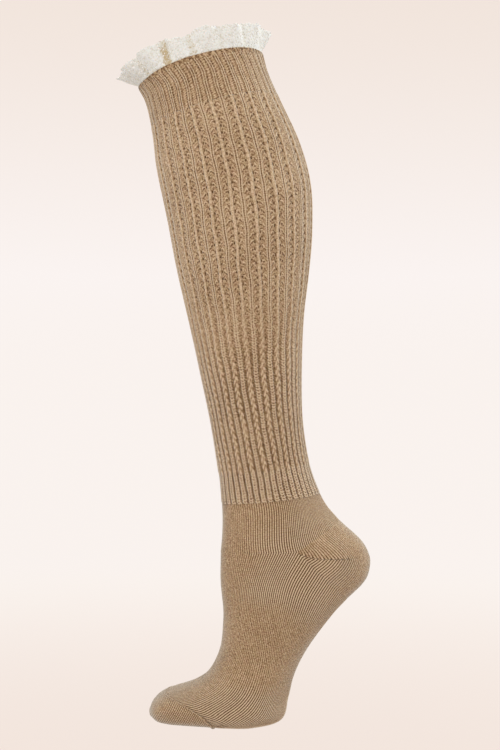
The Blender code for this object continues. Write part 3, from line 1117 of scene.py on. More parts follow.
class RibbedSheet(KnitSheet):
    """Cuff, openwork leg or ankle rib: one relief runs through all three."""

    CLOSING = (170.0 * MM, 275.0 * MM)
    LEAN = 1.9
    LEAN_REACH = 12.0 * MM
    LEAN_POWER = 1.3
    WANDERS = ((0.16, 47.0 * MM, 5), (0.10, 21.0 * MM, -9))
    SWELL = 0.25 * MM
    SWELL_LENGTH = 83.0 * MM
    ROPE = 0.95 * MM
    FINE_RIB = 0.72 * MM
    CUFF_RIB = 0.60 * MM
    BROAD_RIB = 0.46 * MM
    EYELET = 0.95 * MM
    EYELET_WALE = 1.06
    ARCH = 0.10 * MM
    ARCH_WALE = 2.05
    JOIN = 1.5 * MM

    def repeats(self, along: np.ndarray) -> np.ndarray:
        """Repeats of the openwork below the cuff."""
        start, end = self.tube.place("cuff_end"), self.tube.place("pattern_end")
        return (along - start) * PERIODS / (end - start)

    def stitches(self, wale: np.ndarray, along: np.ndarray) -> np.ndarray:
        """Stitch map: wale, and row in repeats of the openwork."""
        return np.column_stack((wale, self.repeats(along)))

    def ease(self, along: np.ndarray) -> np.ndarray:
        """How far the knit has closed up: 0 on the calf, 1 at the ankle."""
        return smooth(*self.CLOSING, along)

    def numbers(self, wale: np.ndarray, along: np.ndarray) -> dict[str, np.ndarray]:
        """Numbers that the finish reads at each point, by name."""
        return {"ease": self.ease(along)}

    def drift(self, wale: np.ndarray, along: np.ndarray) -> np.ndarray:
        """Wales lean over at the welt and wander a little on the leg.

        Args:
            wale: Wale of each point.
            along: Distance of each point along the tube, in metres.

        Returns:
            The drift of each point, in wales.
        """
        total = -self.LEAN * np.clip(1.0 - along / self.LEAN_REACH, 0.0, 1.0) ** self.LEAN_POWER
        for size, length, times in self.WANDERS:
            total = total + size * np.sin(math.tau * (along / length + times * wale / WALES))
        return total

    def relief(self, wale: np.ndarray, along: np.ndarray) -> np.ndarray:
        """Height of the outside over the smooth surface, in metres.

        Args:
            wale: Wale of each point.
            along: Distance of each point along the tube, in metres.

        Returns:
            The height of each point, in metres.
        """
        pattern = self.tube.place("cuff_end")
        plain = self.tube.place("pattern_end")
        end = self.tube.place("rib_end")
        opened = smooth(pattern - self.JOIN, pattern + self.JOIN, along)
        closed = smooth(plain - 2 * self.JOIN, plain + self.JOIN, along)
        upper = mixed(self._cuff(wale), self._openwork(wale, along), opened)
        ribs = mixed(upper, self._ankle(wale), closed) * smooth(end, end - self.JOIN, along)
        swell = self.SWELL * turns(along / self.SWELL_LENGTH + 2 * wale / WALES)
        return ribs + swell * smooth(0.0, 20.0 * MM, along) * (1.0 - closed)

    def _cuff(self, wale: np.ndarray) -> np.ndarray:
        """Fine ribs with a groove down each."""
        away = np.abs(wrapped(wale, RIB))
        return self.CUFF_RIB * (hump(away - 0.50, 0.28) + 0.15 * hump(away, 0.5))

    def _ankle(self, wale: np.ndarray) -> np.ndarray:
        """Broad ribs with narrow grooves."""
        away = np.abs(wrapped(wale, RIB))
        return self.BROAD_RIB * (smooth(1.80, 1.05, away) - 0.12 * hump(away, 0.3))

    def _openwork(self, wale: np.ndarray, along: np.ndarray) -> np.ndarray:
        """Ropes, fine ribs and eyelets, which close up into braids and ribs below.

        Args:
            wale: Wale of each point.
            along: Distance of each point along the tube, in metres.

        Returns:
            The height of each point, in metres.
        """
        ease = self.ease(along)
        across = wrapped(wale, REPEAT)
        beside = np.abs(across)
        away = np.abs(wrapped(wale - REPEAT / 2, REPEAT))
        phase = self.repeats(along)
        row = phase + (smooth(-ROPE_MIDDLE, ROPE_MIDDLE, across) - 0.5) * STAGGER
        fork = smooth(-BRAID_MIDDLE, BRAID_MIDDLE, across) * 0.5
        leaf = turns(phase + fork - LEAF_LEAN * beside)
        braid = smooth(1.55, 0.80, beside) * (0.63 + 0.20 * leaf)
        rope = mixed(smooth(0.92, 0.20, beside), braid, ease)
        loose = hump(away - 0.46, 0.28) + 0.15 * hump(away, 0.5)
        close = 0.72 * smooth(1.50, 0.85, away) - 0.14 * hump(away, 0.25)
        hole = hump(beside - self.EYELET_WALE, 0.27) * hump(wrapped(row, 1.0), 0.18)
        bend = beside - self.ARCH_WALE
        arch = turns(row + ARCH_START - ARCH_BEND * bend ** 2) * hump(bend, 0.75)
        raised = np.maximum(self.ROPE * rope, self.FINE_RIB * mixed(loose, close, ease))
        return raised - self.EYELET * hole * (1.0 - ease) + self.ARCH * arch * (1.0 - ease)


def rim_lift(wale: np.ndarray) -> np.ndarray:
    """How far the rim rises over its section at each wale, in metres."""
    return np.interp(folded_wales(wale), *RIM_LIFT) * MM


class Cuff(RibbedSheet):
    """Ribbed cuff whose upper edge is rolled over and bound with close stitches."""

    ROLL = 0.90 * MM
    ROLL_RELIEF = 0.35
    STEPS = 4
    EASED = 22.0 * MM
    BEADS = 0.40 * MM
    BAND = 0.35 * MM

    def outside(self) -> list[Row]:
        """Rows over the outer half of the roll and down the outside."""
        half = np.linspace(math.pi / 2, 0.0, self.STEPS + 1)[:-1]
        return [self._roll(angle) for angle in half] + super().outside()

    def inside(self) -> list[Row]:
        """Rows up the inside and over the inner half of the roll."""
        half = np.linspace(math.pi, math.pi / 2, self.STEPS + 1)[:-1]
        return super().inside() + [self._roll(angle) for angle in half]

    def creases(self) -> tuple[int, ...]:
        """Rows along the lower cut edge."""
        outer = len(self.outside())
        return (outer - 1, outer)

    def _roll(self, angle: float) -> Row:
        """A row on the roll, at an angle from its outermost line."""
        height = self.ROLL * math.cos(angle) - CLOTH / 2
        return Row(self.places[0], self.ROLL_RELIEF, height, self.ROLL * math.sin(angle))

    def slide(self, wale: np.ndarray, along: np.ndarray) -> np.ndarray:
        """How far each point is moved along the tube, in metres."""
        return -rim_lift(wale) * smooth(self.EASED, 0.0, along)

    def relief(self, wale: np.ndarray, along: np.ndarray) -> np.ndarray:
        """Ribs, and beads where the binding stitches pass over the roll.

        Args:
            wale: Wale of each point.
            along: Distance of each point along the tube, in metres.

        Returns:
            The height of each point, in metres.
        """
        beads = self.BEADS * turns(wale * 0.5) * smooth(3.2 * MM, 1.0 * MM, along)
        band = self.BAND * hump(along - 1.4 * MM, 1.3 * MM)
        return super().relief(wale, along) * smooth(0.8 * MM, 3.4 * MM, along) + beads + band


def led_back(wale: np.ndarray, shift: np.ndarray) -> np.ndarray:
    """Wales led towards the back of the tube, most at its sides, in wales.

    Args:
        wale: Wale of each point.
        shift: How far the wales at the sides are led, in wales.

    Returns:
        The drift of each point, in wales.
    """
    folded = folded_wales(wale)
    share = np.minimum(folded / FRONT_WALES, (BACK_WALE - folded) / BACK_WALES)
    return near_side(wale) * shift * smooth(0.0, 1.0, share)


def seam_slide(tube: Tube, wale: np.ndarray, along: np.ndarray) -> np.ndarray:
    """How far the knit near the toe is moved along the foot, in metres.

    Args:
        tube: The foot.
        wale: Wale of each point.
        along: Distance of each point along the foot.

    Returns:
        The distances, which carry the toe seam back under the foot.
    """
    seam = tube.place("toe_seam")
    before, beyond = SEAM_SLIDE_REACH
    share = smooth(seam - before, seam, along) * smooth(seam + beyond, seam, along)
    return np.interp(folded_wales(wale), *SEAM_SLIDE) * MM * share


def beside_toes(wale: np.ndarray) -> np.ndarray:
    """Wales from where the toe seam starts to stand out; over the toes it lies flat."""
    return folded_wales(wale) - np.where(near_side(wale) > 0.0, *FLAT_SEAM)


@dataclass
class PlainSheet(KnitSheet):
    """A sheet of plain knit, whose columns of stitches stand out more or less."""

    start: float = 0.0

    @abstractmethod
    def firm(self, wale: np.ndarray, along: np.ndarray) -> np.ndarray:
        """How clearly the columns of stitches stand out, from 0 to 1."""

    def shadow(self, wale: np.ndarray, along: np.ndarray) -> np.ndarray:
        """Painted shade where the stitches draw in, from 0 to 1."""
        return np.zeros(len(wale))

    def numbers(self, wale: np.ndarray, along: np.ndarray) -> dict[str, np.ndarray]:
        """Numbers that the finish reads at each point, by name."""
        return {"firm": self.firm(wale, along), "shadow": self.shadow(wale, along)}

    def relief(self, wale: np.ndarray, along: np.ndarray) -> np.ndarray:
        """Height of the outside over the smooth surface, in metres."""
        return PLAIN_DEPTH * self.firm(wale, along) * turns(self.stitches(wale, along)[:, 0])

    def stitches(self, wale: np.ndarray, along: np.ndarray) -> np.ndarray:
        """Stitch map: wale and course of each point."""
        return np.column_stack((wale * PLAIN_SHARE, (along + self.start) / PLAIN_COURSE))


class Ankle(PlainSheet):
    """Plain knit between the ankle rib and the gore line."""

    LED_BACK = 7.0
    LOOSEST = 0.20
    FIRMING = 32.0 * MM
    JOIN = 0.8 * MM
    GROOVE = 0.10 * MM

    def drift(self, wale: np.ndarray, along: np.ndarray) -> np.ndarray:
        """Wales run straight down at the sides, where the tube widens."""
        return led_back(wale, self.LED_BACK * smooth(self.places[-1], self.places[0], along))

    def firm(self, wale: np.ndarray, along: np.ndarray) -> np.ndarray:
        """How clearly the columns of stitches stand out: faint in front.

        Args:
            wale: Wale of each point.
            along: Distance of each point along the tube, in metres.

        Returns:
            A number from 0 to 1 for each point.
        """
        folded = folded_wales(wale)
        middle = smooth(4.0, 40.0, folded) * (1.0 - 0.4 * smooth(46.0, 66.0, folded))
        lower = 0.55 + 0.45 * smooth(0.0, self.FIRMING, along - self.places[0])
        return self.LOOSEST + (1.0 - self.LOOSEST) * middle * lower

    def relief(self, wale: np.ndarray, along: np.ndarray) -> np.ndarray:
        """Plain wales, and a groove where the rib ends."""
        groove = self.GROOVE * hump(along - self.places[0] - self.JOIN, self.JOIN)
        return super().relief(wale, along) - groove

    def shadow(self, wale: np.ndarray, along: np.ndarray) -> np.ndarray:
        """Painted shade where the stitches draw in: dots where the rib ends."""
        join = hump(along - self.places[0] - 0.6 * MM, self.JOIN)
        return join * (0.22 + 0.30 * turns(wale / 2))


class Foot(PlainSheet):
    """Plain knit from the gore line to the toe seam."""

    LED_BACK = (0.0, -2.5, 2.0, 6.5, 7.0, 6.0, 7.0, 9.5, 12.0)
    SPREAD = np.linspace(-8.0, 8.0, 9) * MM
    LOOSEST = 0.20
    SWELL = 0.20 * MM
    SWELL_LENGTH = 61.0 * MM
    FADE = 20.0 * MM
    TUCK_WALE = 55.0
    TUCK = (-15.0 * MM, -8.0 * MM, -5.0 * MM, -1.0 * MM)
    TUCK_DEPTH = 0.75 * MM
    RIDGE_HEIGHT = 0.45 * MM
    GROOVE_DEPTH = 0.40 * MM
    GROOVE_PLACE = 1.3 * MM
    GROOVE_WIDTH = 0.9 * MM

    def drift(self, wale: np.ndarray, along: np.ndarray) -> np.ndarray:
        """Wales keep close to the sole along the arch.

        Args:
            wale: Wale of each point.
            along: Distance of each point along the tube, in metres.

        Returns:
            The drift of each point, in wales.
        """
        knots = self.tube.knots[:len(self.LED_BACK)]
        spread = along[:, None] + self.SPREAD * smooth(0.0, 12.0 * MM, along)[:, None]
        return led_back(wale, np.interp(spread, knots, self.LED_BACK).mean(axis=1))

    def slide(self, wale: np.ndarray, along: np.ndarray) -> np.ndarray:
        """How far each point is moved along the tube, in metres."""
        return seam_slide(self.tube, wale, along)

    def firm(self, wale: np.ndarray, along: np.ndarray) -> np.ndarray:
        """How clearly the columns of stitches stand out: faint on instep and arch.

        Args:
            wale: Wale of each point.
            along: Distance of each point along the tube, in metres.

        Returns:
            A number from 0 to 1 for each point.
        """
        folded = folded_wales(wale)
        arch = smooth(28.0 * MM, 52.0 * MM, along) * smooth(108.0 * MM, 90.0 * MM, along)
        side = smooth(5.0, 40.0, folded) * (1.0 - 0.70 * arch)
        sole = 1.0 - 0.35 * smooth(60.0, 74.0, folded)
        return self.LOOSEST + (1.0 - self.LOOSEST) * side * sole

    def relief(self, wale: np.ndarray, along: np.ndarray) -> np.ndarray:
        """Plain wales, soft swells, and the small tuck by the toe seam.

        Args:
            wale: Wale of each point.
            along: Distance of each point along the tube, in metres.

        Returns:
            The height of each point, in metres.
        """
        seam = self.places[-1]
        swell = self.SWELL * np.sin(math.tau * (along / self.SWELL_LENGTH + 3 * wale / WALES))
        fade = smooth(0.0, self.FADE, along) * smooth(seam, seam - self.FADE, along)
        tuck, ridge = self._tuck(wale, along)
        groove = self.GROOVE_DEPTH * self._groove(along) * smooth(0.0, 10.0, beside_toes(wale))
        rise = swell * fade - groove - self.TUCK_DEPTH * tuck + self.RIDGE_HEIGHT * ridge
        return super().relief(wale, along) + rise

    def _groove(self, along: np.ndarray) -> np.ndarray:
        """The groove along the toe seam, from 0 to 1."""
        return hump(along - self.places[-1] + self.GROOVE_PLACE, self.GROOVE_WIDTH)

    def _tuck(self, wale: np.ndarray, along: np.ndarray) -> tuple[np.ndarray, np.ndarray]:
        """The small tuck by the toe seam and the ridge beside it, from 0 to 1.

        Args:
            wale: Wale of each point.
            along: Distance of each point along the tube, in metres.

        Returns:
            The tuck and the ridge, each with a number for each point.
        """
        far, back, fore, near = (self.places[-1] + distance for distance in self.TUCK)
        deep = smooth(far, back, along) * smooth(near, fore, along)
        beyond = wale + self.drift(wale, along) - self.TUCK_WALE
        return hump(beyond, 1.1) * deep, hump(beyond - 2.4, 1.3) * deep

    def shadow(self, wale: np.ndarray, along: np.ndarray) -> np.ndarray:
        """Painted shade where the stitches draw in: by the toe seam, in its groove and tuck.

        Args:
            wale: Wale of each point.
            along: Distance of each point along the tube, in metres.

        Returns:
            A number from 0 to 1 for each point.
        """
        dashes = 0.62 + 0.25 * turns(wale * PLAIN_SHARE / 2)
        clear = smooth(-3.0, 6.0, beside_toes(wale))
        return self._groove(along) * dashes * clear + 0.6 * self._tuck(wale, along)[0]


class Heel(PlainSheet):
    """Heel pocket, whose wales meet in a chevron along the gore."""

    APEX = (FRONT_WALES, WALES - FRONT_WALES)
    APEX_CLEAR = 0.8
    APEX_REACH = 2.5
    EDGE_ROOM = 0.08
    COURSE_SHARE = 1.7
    LOOSEST = 0.22
    SUTURE_WIDTH = 1.0 * MM
    RIDGE_HEIGHT = 0.18 * MM
    MARK_DEPTH = 0.45 * MM
    DROP = 6.7 * MM
    DROP_REACH = 10.0 * MM
    UPPER = math.radians(48.0)
    LOWER = math.radians(58.0)
    FLAT_SHARE = (0.42, 0.98)
    REACH = 75.0 * MM
    MARK = 5.0 * MM
    FIRST_MARK = 3.0 * MM

    def surface(self, wale: np.ndarray, along: np.ndarray) -> tuple[np.ndarray, np.ndarray]:
        """Smooth surface, whose normals run together at the apex of the gore.

        Args:
            wale: Wale of each point.
            along: Distance of each point along the tube, in metres.

        Returns:
            The points and their outward normals.
        """
        first, last = self.APEX
        clear = np.clip(wale, first + self.APEX_CLEAR, last - self.APEX_CLEAR)
        normal = self.tube.normals(clear, along)
        sideways = np.zeros((len(wale), 3))
        sideways[:, 1] = -near_side(wale)
        reach = smooth(0.0, self.APEX_REACH, np.minimum(wale - first, last - wale))
        return self.tube.points(wale, along), unit(mixed(sideways, normal, reach[:, None]))

    @staticmethod
    def _share(wale: np.ndarray) -> np.ndarray:
        """0 at the apex of the gore and 1 at the back of the heel."""
        return 1.0 - np.abs(wale - BACK_WALE) / BACK_WALES

    def _polar(self, wale: np.ndarray, along: np.ndarray) -> tuple[np.ndarray, ...]:
        """Place on the pocket, seen from the gore's apex.

        Args:
            wale: Wale of each point.
            along: Distance of each point along the heel.

        Returns:
            Share of the way round the ring, angle above the gore, the lean of the
            wales into the gore, and their distance along it as a share of reach.
        """
        values = self.tube.section(np.append(along, self.tube.knots[[0, -1]]))
        angles = np.arctan2(values[:, 5] - values[:, 3], values[:, 4] - values[:, 2])
        share = self._share(wale)
        reach = np.maximum(share * self.REACH, 0.1 * MM)
        drop = self.DROP * (1.0 - np.exp(-reach / self.DROP_REACH))
        gore = np.maximum(-np.arctan2(drop, reach), angles[-1] + self.EDGE_ROOM)
        angle = angles[:-2] - gore
        tilt = np.where(angle > 0.0, self.UPPER, self.LOWER)
        room = np.where(angle > 0.0, angles[-2] - gore, gore - angles[-1])
        lean = np.sin(tilt + np.abs(angle)) / np.sin(tilt + room)
        onward = np.cos(tilt + np.abs(angle)) * np.sign(angle) / np.sin(tilt + room)
        return share, angle, lean, onward

    def _flat(self, share: np.ndarray) -> np.ndarray:
        """How far the wales lean into the gore: not at the back of the heel."""
        return smooth(self.FLAT_SHARE[1], self.FLAT_SHARE[0], share)

    def stitches(self, wale: np.ndarray, along: np.ndarray) -> np.ndarray:
        """Stitch map: wales that lean into the gore near its apex.

        Args:
            wale: Wale of each point.
            along: Distance of each point along the tube, in metres.

        Returns:
            Wale and course of each point, in two columns.
        """
        share, _, lean, onward = self._polar(wale, along)
        flat = self._flat(share)
        reach = share * BACK_WALES * PLAIN_SHARE
        wales = FRONT_WALES * PLAIN_SHARE + reach * (lean * flat + 1.0 - flat)
        turned = np.where(wale <= BACK_WALE, wales, WALES * PLAIN_SHARE - wales)
        inward = reach * self.COURSE_SHARE * onward * flat
        course = (along + self.start) * (1.0 - flat) / PLAIN_COURSE - inward
        return np.column_stack((turned, course))

    def firm(self, wale: np.ndarray, along: np.ndarray) -> np.ndarray:
        """How clearly the columns of stitches stand out: most below the gore.

        Args:
            wale: Wale of each point.
            along: Distance of each point along the tube, in metres.

        Returns:
            A number from 0 to 1 for each point.
        """
        share, angle, _, _ = self._polar(wale, along)
        below = 1.0 - 0.42 * smooth(-0.05, 0.10, angle) - 0.20 * smooth(0.35, 0.75, angle)
        return self.LOOSEST + 0.68 * below * smooth(0.85, 0.50, share)

    def _suture(self, wale: np.ndarray, along: np.ndarray) -> tuple[np.ndarray, np.ndarray]:
        """Line of the gore and the gathered stitches along it, from 0 to 1.

        Args:
            wale: Wale of each point.
            along: Distance of each point along the tube, in metres.

        Returns:
            The line and the stitches, each with a number for each point.
        """
        share, angle, _, _ = self._polar(wale, along)
        line = hump(angle * share * self.REACH, self.SUTURE_WIDTH)
        line = line * smooth(0.64, 0.58, share) * smooth(0.01, 0.03, share)
        marks = 0.5 + 0.5 * turns((share * self.REACH - self.FIRST_MARK) / self.MARK)
        return line, marks ** 3 * line

    def relief(self, wale: np.ndarray, along: np.ndarray) -> np.ndarray:
        """Plain wales along the stitch map, and the stitches of the gore.

        Args:
            wale: Wale of each point.
            along: Distance of each point along the tube, in metres.

        Returns:
            The height of each point, in metres.
        """
        line, marks = self._suture(wale, along)
        gathers = self.RIDGE_HEIGHT * line - self.MARK_DEPTH * marks
        return (super().relief(wale, along) + gathers) * smooth(0.0, 0.05, self._share(wale))

    def shadow(self, wale: np.ndarray, along: np.ndarray) -> np.ndarray:
        """Painted shade where the stitches draw in along the gore, less a little painted light over the
        pocket.
        """
        # Painted light that brightens the pocket away from the gore's apex.
        painted_pocket_light = 0.12 * smooth(0.05, 0.35, self._share(wale))
        return self._suture(wale, along)[1] * 0.85 - painted_pocket_light


class Toe(PlainSheet):
    """Toe cap, closed over its tip, with wales in upright planes."""

    SLOPE = math.radians(62.0)
    PITCH = 1.50 * MM
    CAP = 1.4 * MM
    CAP_STEPS = 4
    TIP = 0.7 * MM

    def _cap(self) -> np.ndarray:
        """Distances of the rows that close the tip."""
        return self.places[-1] + self.CAP * np.linspace(0.0, 1.0, self.CAP_STEPS + 1)[1:]

    def slide(self, wale: np.ndarray, along: np.ndarray) -> np.ndarray:
        """How far each point is moved along the tube, in metres."""
        return seam_slide(self.tube, wale, along)

    def firm(self, wale: np.ndarray, along: np.ndarray) -> np.ndarray:
        """How clearly the columns of stitches stand out: most where they lie close.

        Args:
            wale: Wale of each point.
            along: Distance of each point along the tube, in metres.

        Returns:
            A number from 0 to 1 for each point.
        """
        _, normal = self.surface(wale, along + self.slide(wale, along))
        facing = np.abs(self._across(normal))
        side = 0.30 + 0.70 * smooth(5.0, 28.0, folded_wales(wale))
        return side * (0.15 + 0.85 * smooth(0.90, 0.55, facing))

    def outside(self) -> list[Row]:
        """Rows down the outside and over the tip."""
        return super().outside() + [Row(place, 1.0, 0.0, 0.0) for place in self._cap()]

    def inside(self) -> list[Row]:
        """Rows from the tip back up the inside."""
        return [Row(place, 0.0, -CLOTH, 0.0) for place in self._cap()[::-1]] + super().inside()

    def creases(self) -> tuple[int, ...]:
        """Rows along the cut edge at the toe seam."""
        return (0, len(self.outside()) + len(self.inside()) - 1)

    def surface(self, wale: np.ndarray, along: np.ndarray) -> tuple[np.ndarray, np.ndarray]:
        """Smooth surface that rounds over the tip beyond the last section.

        Args:
            wale: Wale of each point.
            along: Distance of each point along the tube, in metres.

        Returns:
            The points and their outward normals.
        """
        last = self.tube.knots[-1]
        held = np.minimum(along, last)
        points, normal = self.tube.points(wale, held), self.tube.normals(wale, held)
        ends = self.tube.section(np.array([last - MM, last]))
        centre = np.array([ends[1, 2], 0.0, ends[1, 3]])
        onward = unit(np.array([ends[1, 2] - ends[0, 2], 0.0, ends[1, 3] - ends[0, 3]]))
        turn = np.clip((along - last) / self.CAP, 0.0, 1.0)[:, None] * math.pi / 2
        over = centre + (points - centre) * np.cos(turn) + onward * self.TIP * np.sin(turn)
        facing = unit(normal * np.cos(turn) + onward * np.sin(turn))
        beyond = (along > last)[:, None]
        return np.where(beyond, over, points), np.where(beyond, facing, normal)

    def stitches(self, wale: np.ndarray, along: np.ndarray) -> np.ndarray:
        """Stitch map: wales cross the toe square to its seam, in upright planes.

        Args:
            wale: Wale of each point.
            along: Distance of each point along the tube, in metres.

        Returns:
            Wale and course of each point, in two columns.
        """
        points, _ = self.surface(wale, along + self.slide(wale, along))
        onward = points[:, 0] * math.cos(self.SLOPE) + points[:, 2] * math.sin(self.SLOPE)
        return np.column_stack((self._across(points) / self.PITCH, onward / PLAIN_COURSE))

    def _across(self, vectors: np.ndarray) -> np.ndarray:
        """How far each vector reaches square to the planes of the wales."""
        return vectors[:, 0] * math.sin(self.SLOPE) - vectors[:, 2] * math.cos(self.SLOPE)

    def relief(self, wale: np.ndarray, along: np.ndarray) -> np.ndarray:
        """Height of the outside over the smooth surface: the wales are too fine for it."""
        return np.zeros(len(wale))


@dataclass
class ToeSeam:
    """Linked seam that closes the toe: a fine ridge with a stitch on every wale."""

    tube: Tube
    finish: bpy.types.Material
    radius: float = 0.78 * MM
    sides: int = 8
    columns: int = 504
    rise: float = 0.15 * MM
    thinnest: float = 0.25
    flatness: float = 1.15
    stitch: float = 0.16
    # Painted highlight along the ridge, through the finish's crest number.
    crest: float = 2.2
    name: str = "toe_seam"

    def build(self) -> bpy.types.Object:
        """Sweep the ridge round the toe seam.

        Returns:
            The finished object.
        """
        across = self.columns + 1
        data = grid_mesh(self.name, across, self.sides + 1)
        number = np.arange(len(data.vertices))
        wale = even_columns(self.columns)[number % across]
        angle = math.tau * (number // across % self.sides) / self.sides
        seam = np.full(len(wale), self.tube.place("toe_seam"))
        along = seam + seam_slide(self.tube, wale, seam)
        normal = self.tube.normals(wale, along)
        down = self.tube.down(wale, along)
        stitch = 1.0 + self.stitch * turns(wale * PLAIN_SHARE + angle / math.tau)
        stout = self.thinnest + (1.0 - self.thinnest) * smooth(0.0, 10.0, beside_toes(wale))
        centre = self.tube.points(wale, along) + normal * self.rise
        around = normal * np.cos(angle)[:, None] + down * np.sin(angle)[:, None] * self.flatness
        points = centre + around * (self.radius * stitch * stout)[:, None]
        data.vertices.foreach_set("co", points.astype(np.float32).ravel())
        write_stitches(data, np.column_stack((wale * PLAIN_SHARE, 2.0 * angle / math.tau)))
        # Painted highlight along the ridge.
        write_numbers(data, "crest", np.full(len(wale), self.crest))
        weld(data, across)
        return place_piece(data, self.finish)


# --------------------------------------------------------------------------------
# Lace


class Wave(NamedTuple):
    """A gathered wave: where on the ring, how far out or in (mm), how wide."""

    wale: float
    push: float
    width: float


LACE_WAVES = (
    Wave(2.0, 2.6, 3.2),
    Wave(7.5, -2.6, 2.6),
    Wave(11.5, 2.2, 2.6),
    Wave(15.5, -3.2, 2.4),
    Wave(21.0, 3.2, 3.2),
    Wave(27.2, -5.8, 2.7),
    Wave(32.5, 2.6, 3.2),
    Wave(38.5, -3.4, 2.5),
    Wave(44.5, 2.4, 3.4),
    Wave(51.0, -2.2, 2.8),
    Wave(57.0, 2.4, 3.4),
    Wave(63.5, -2.4, 2.6),
    Wave(70.0, 2.4, 3.4),
    Wave(77.0, -1.8, 3.0),
    Wave(84.5, 2.4, 3.4),
    Wave(92.0, -2.8, 2.8),
    Wave(99.0, 3.0, 3.4),
    Wave(107.5, -4.4, 2.6),
    Wave(113.5, 2.8, 3.4),
    Wave(120.5, -2.4, 2.8),
    Wave(127.0, 3.2, 3.4),
    Wave(134.5, -3.4, 2.6),
    Wave(141.0, 2.4, 3.4),
    Wave(148.5, -4.2, 2.6),
    Wave(155.0, 2.6, 3.0),
    Wave(162.0, -2.2, 2.6),
)


class Standing(NamedTuple):
    """How the frill stands: wales from the front, lean in degrees, height in millimetres."""

    wale: float
    lean: float
    height: float


LACE_STANDING = (
    Standing(0, 37, 19.0),
    Standing(4, 39, 19.2),
    Standing(8, 40, 21.4),
    Standing(12, 38, 22.5),
    Standing(16, 27, 20.8),
    Standing(20, 16, 21.8),
    Standing(24, 9, 20.6),
    Standing(28, 8, 23.0),
    Standing(32, 8, 19.2),
    Standing(36, 10, 17.8),
    Standing(40, 12, 19.5),
    Standing(44, 14, 21.8),
    Standing(48, 14, 21.0),
    Standing(52, 15, 20.0),
    Standing(60, 16, 19.2),
    Standing(64, 17, 21.8),
    Standing(68, 18, 20.8),
    Standing(72, 20, 21.0),
    Standing(76, 24, 21.6),
    Standing(80, 32, 20.5),
    Standing(84, 36, 19.0),
)


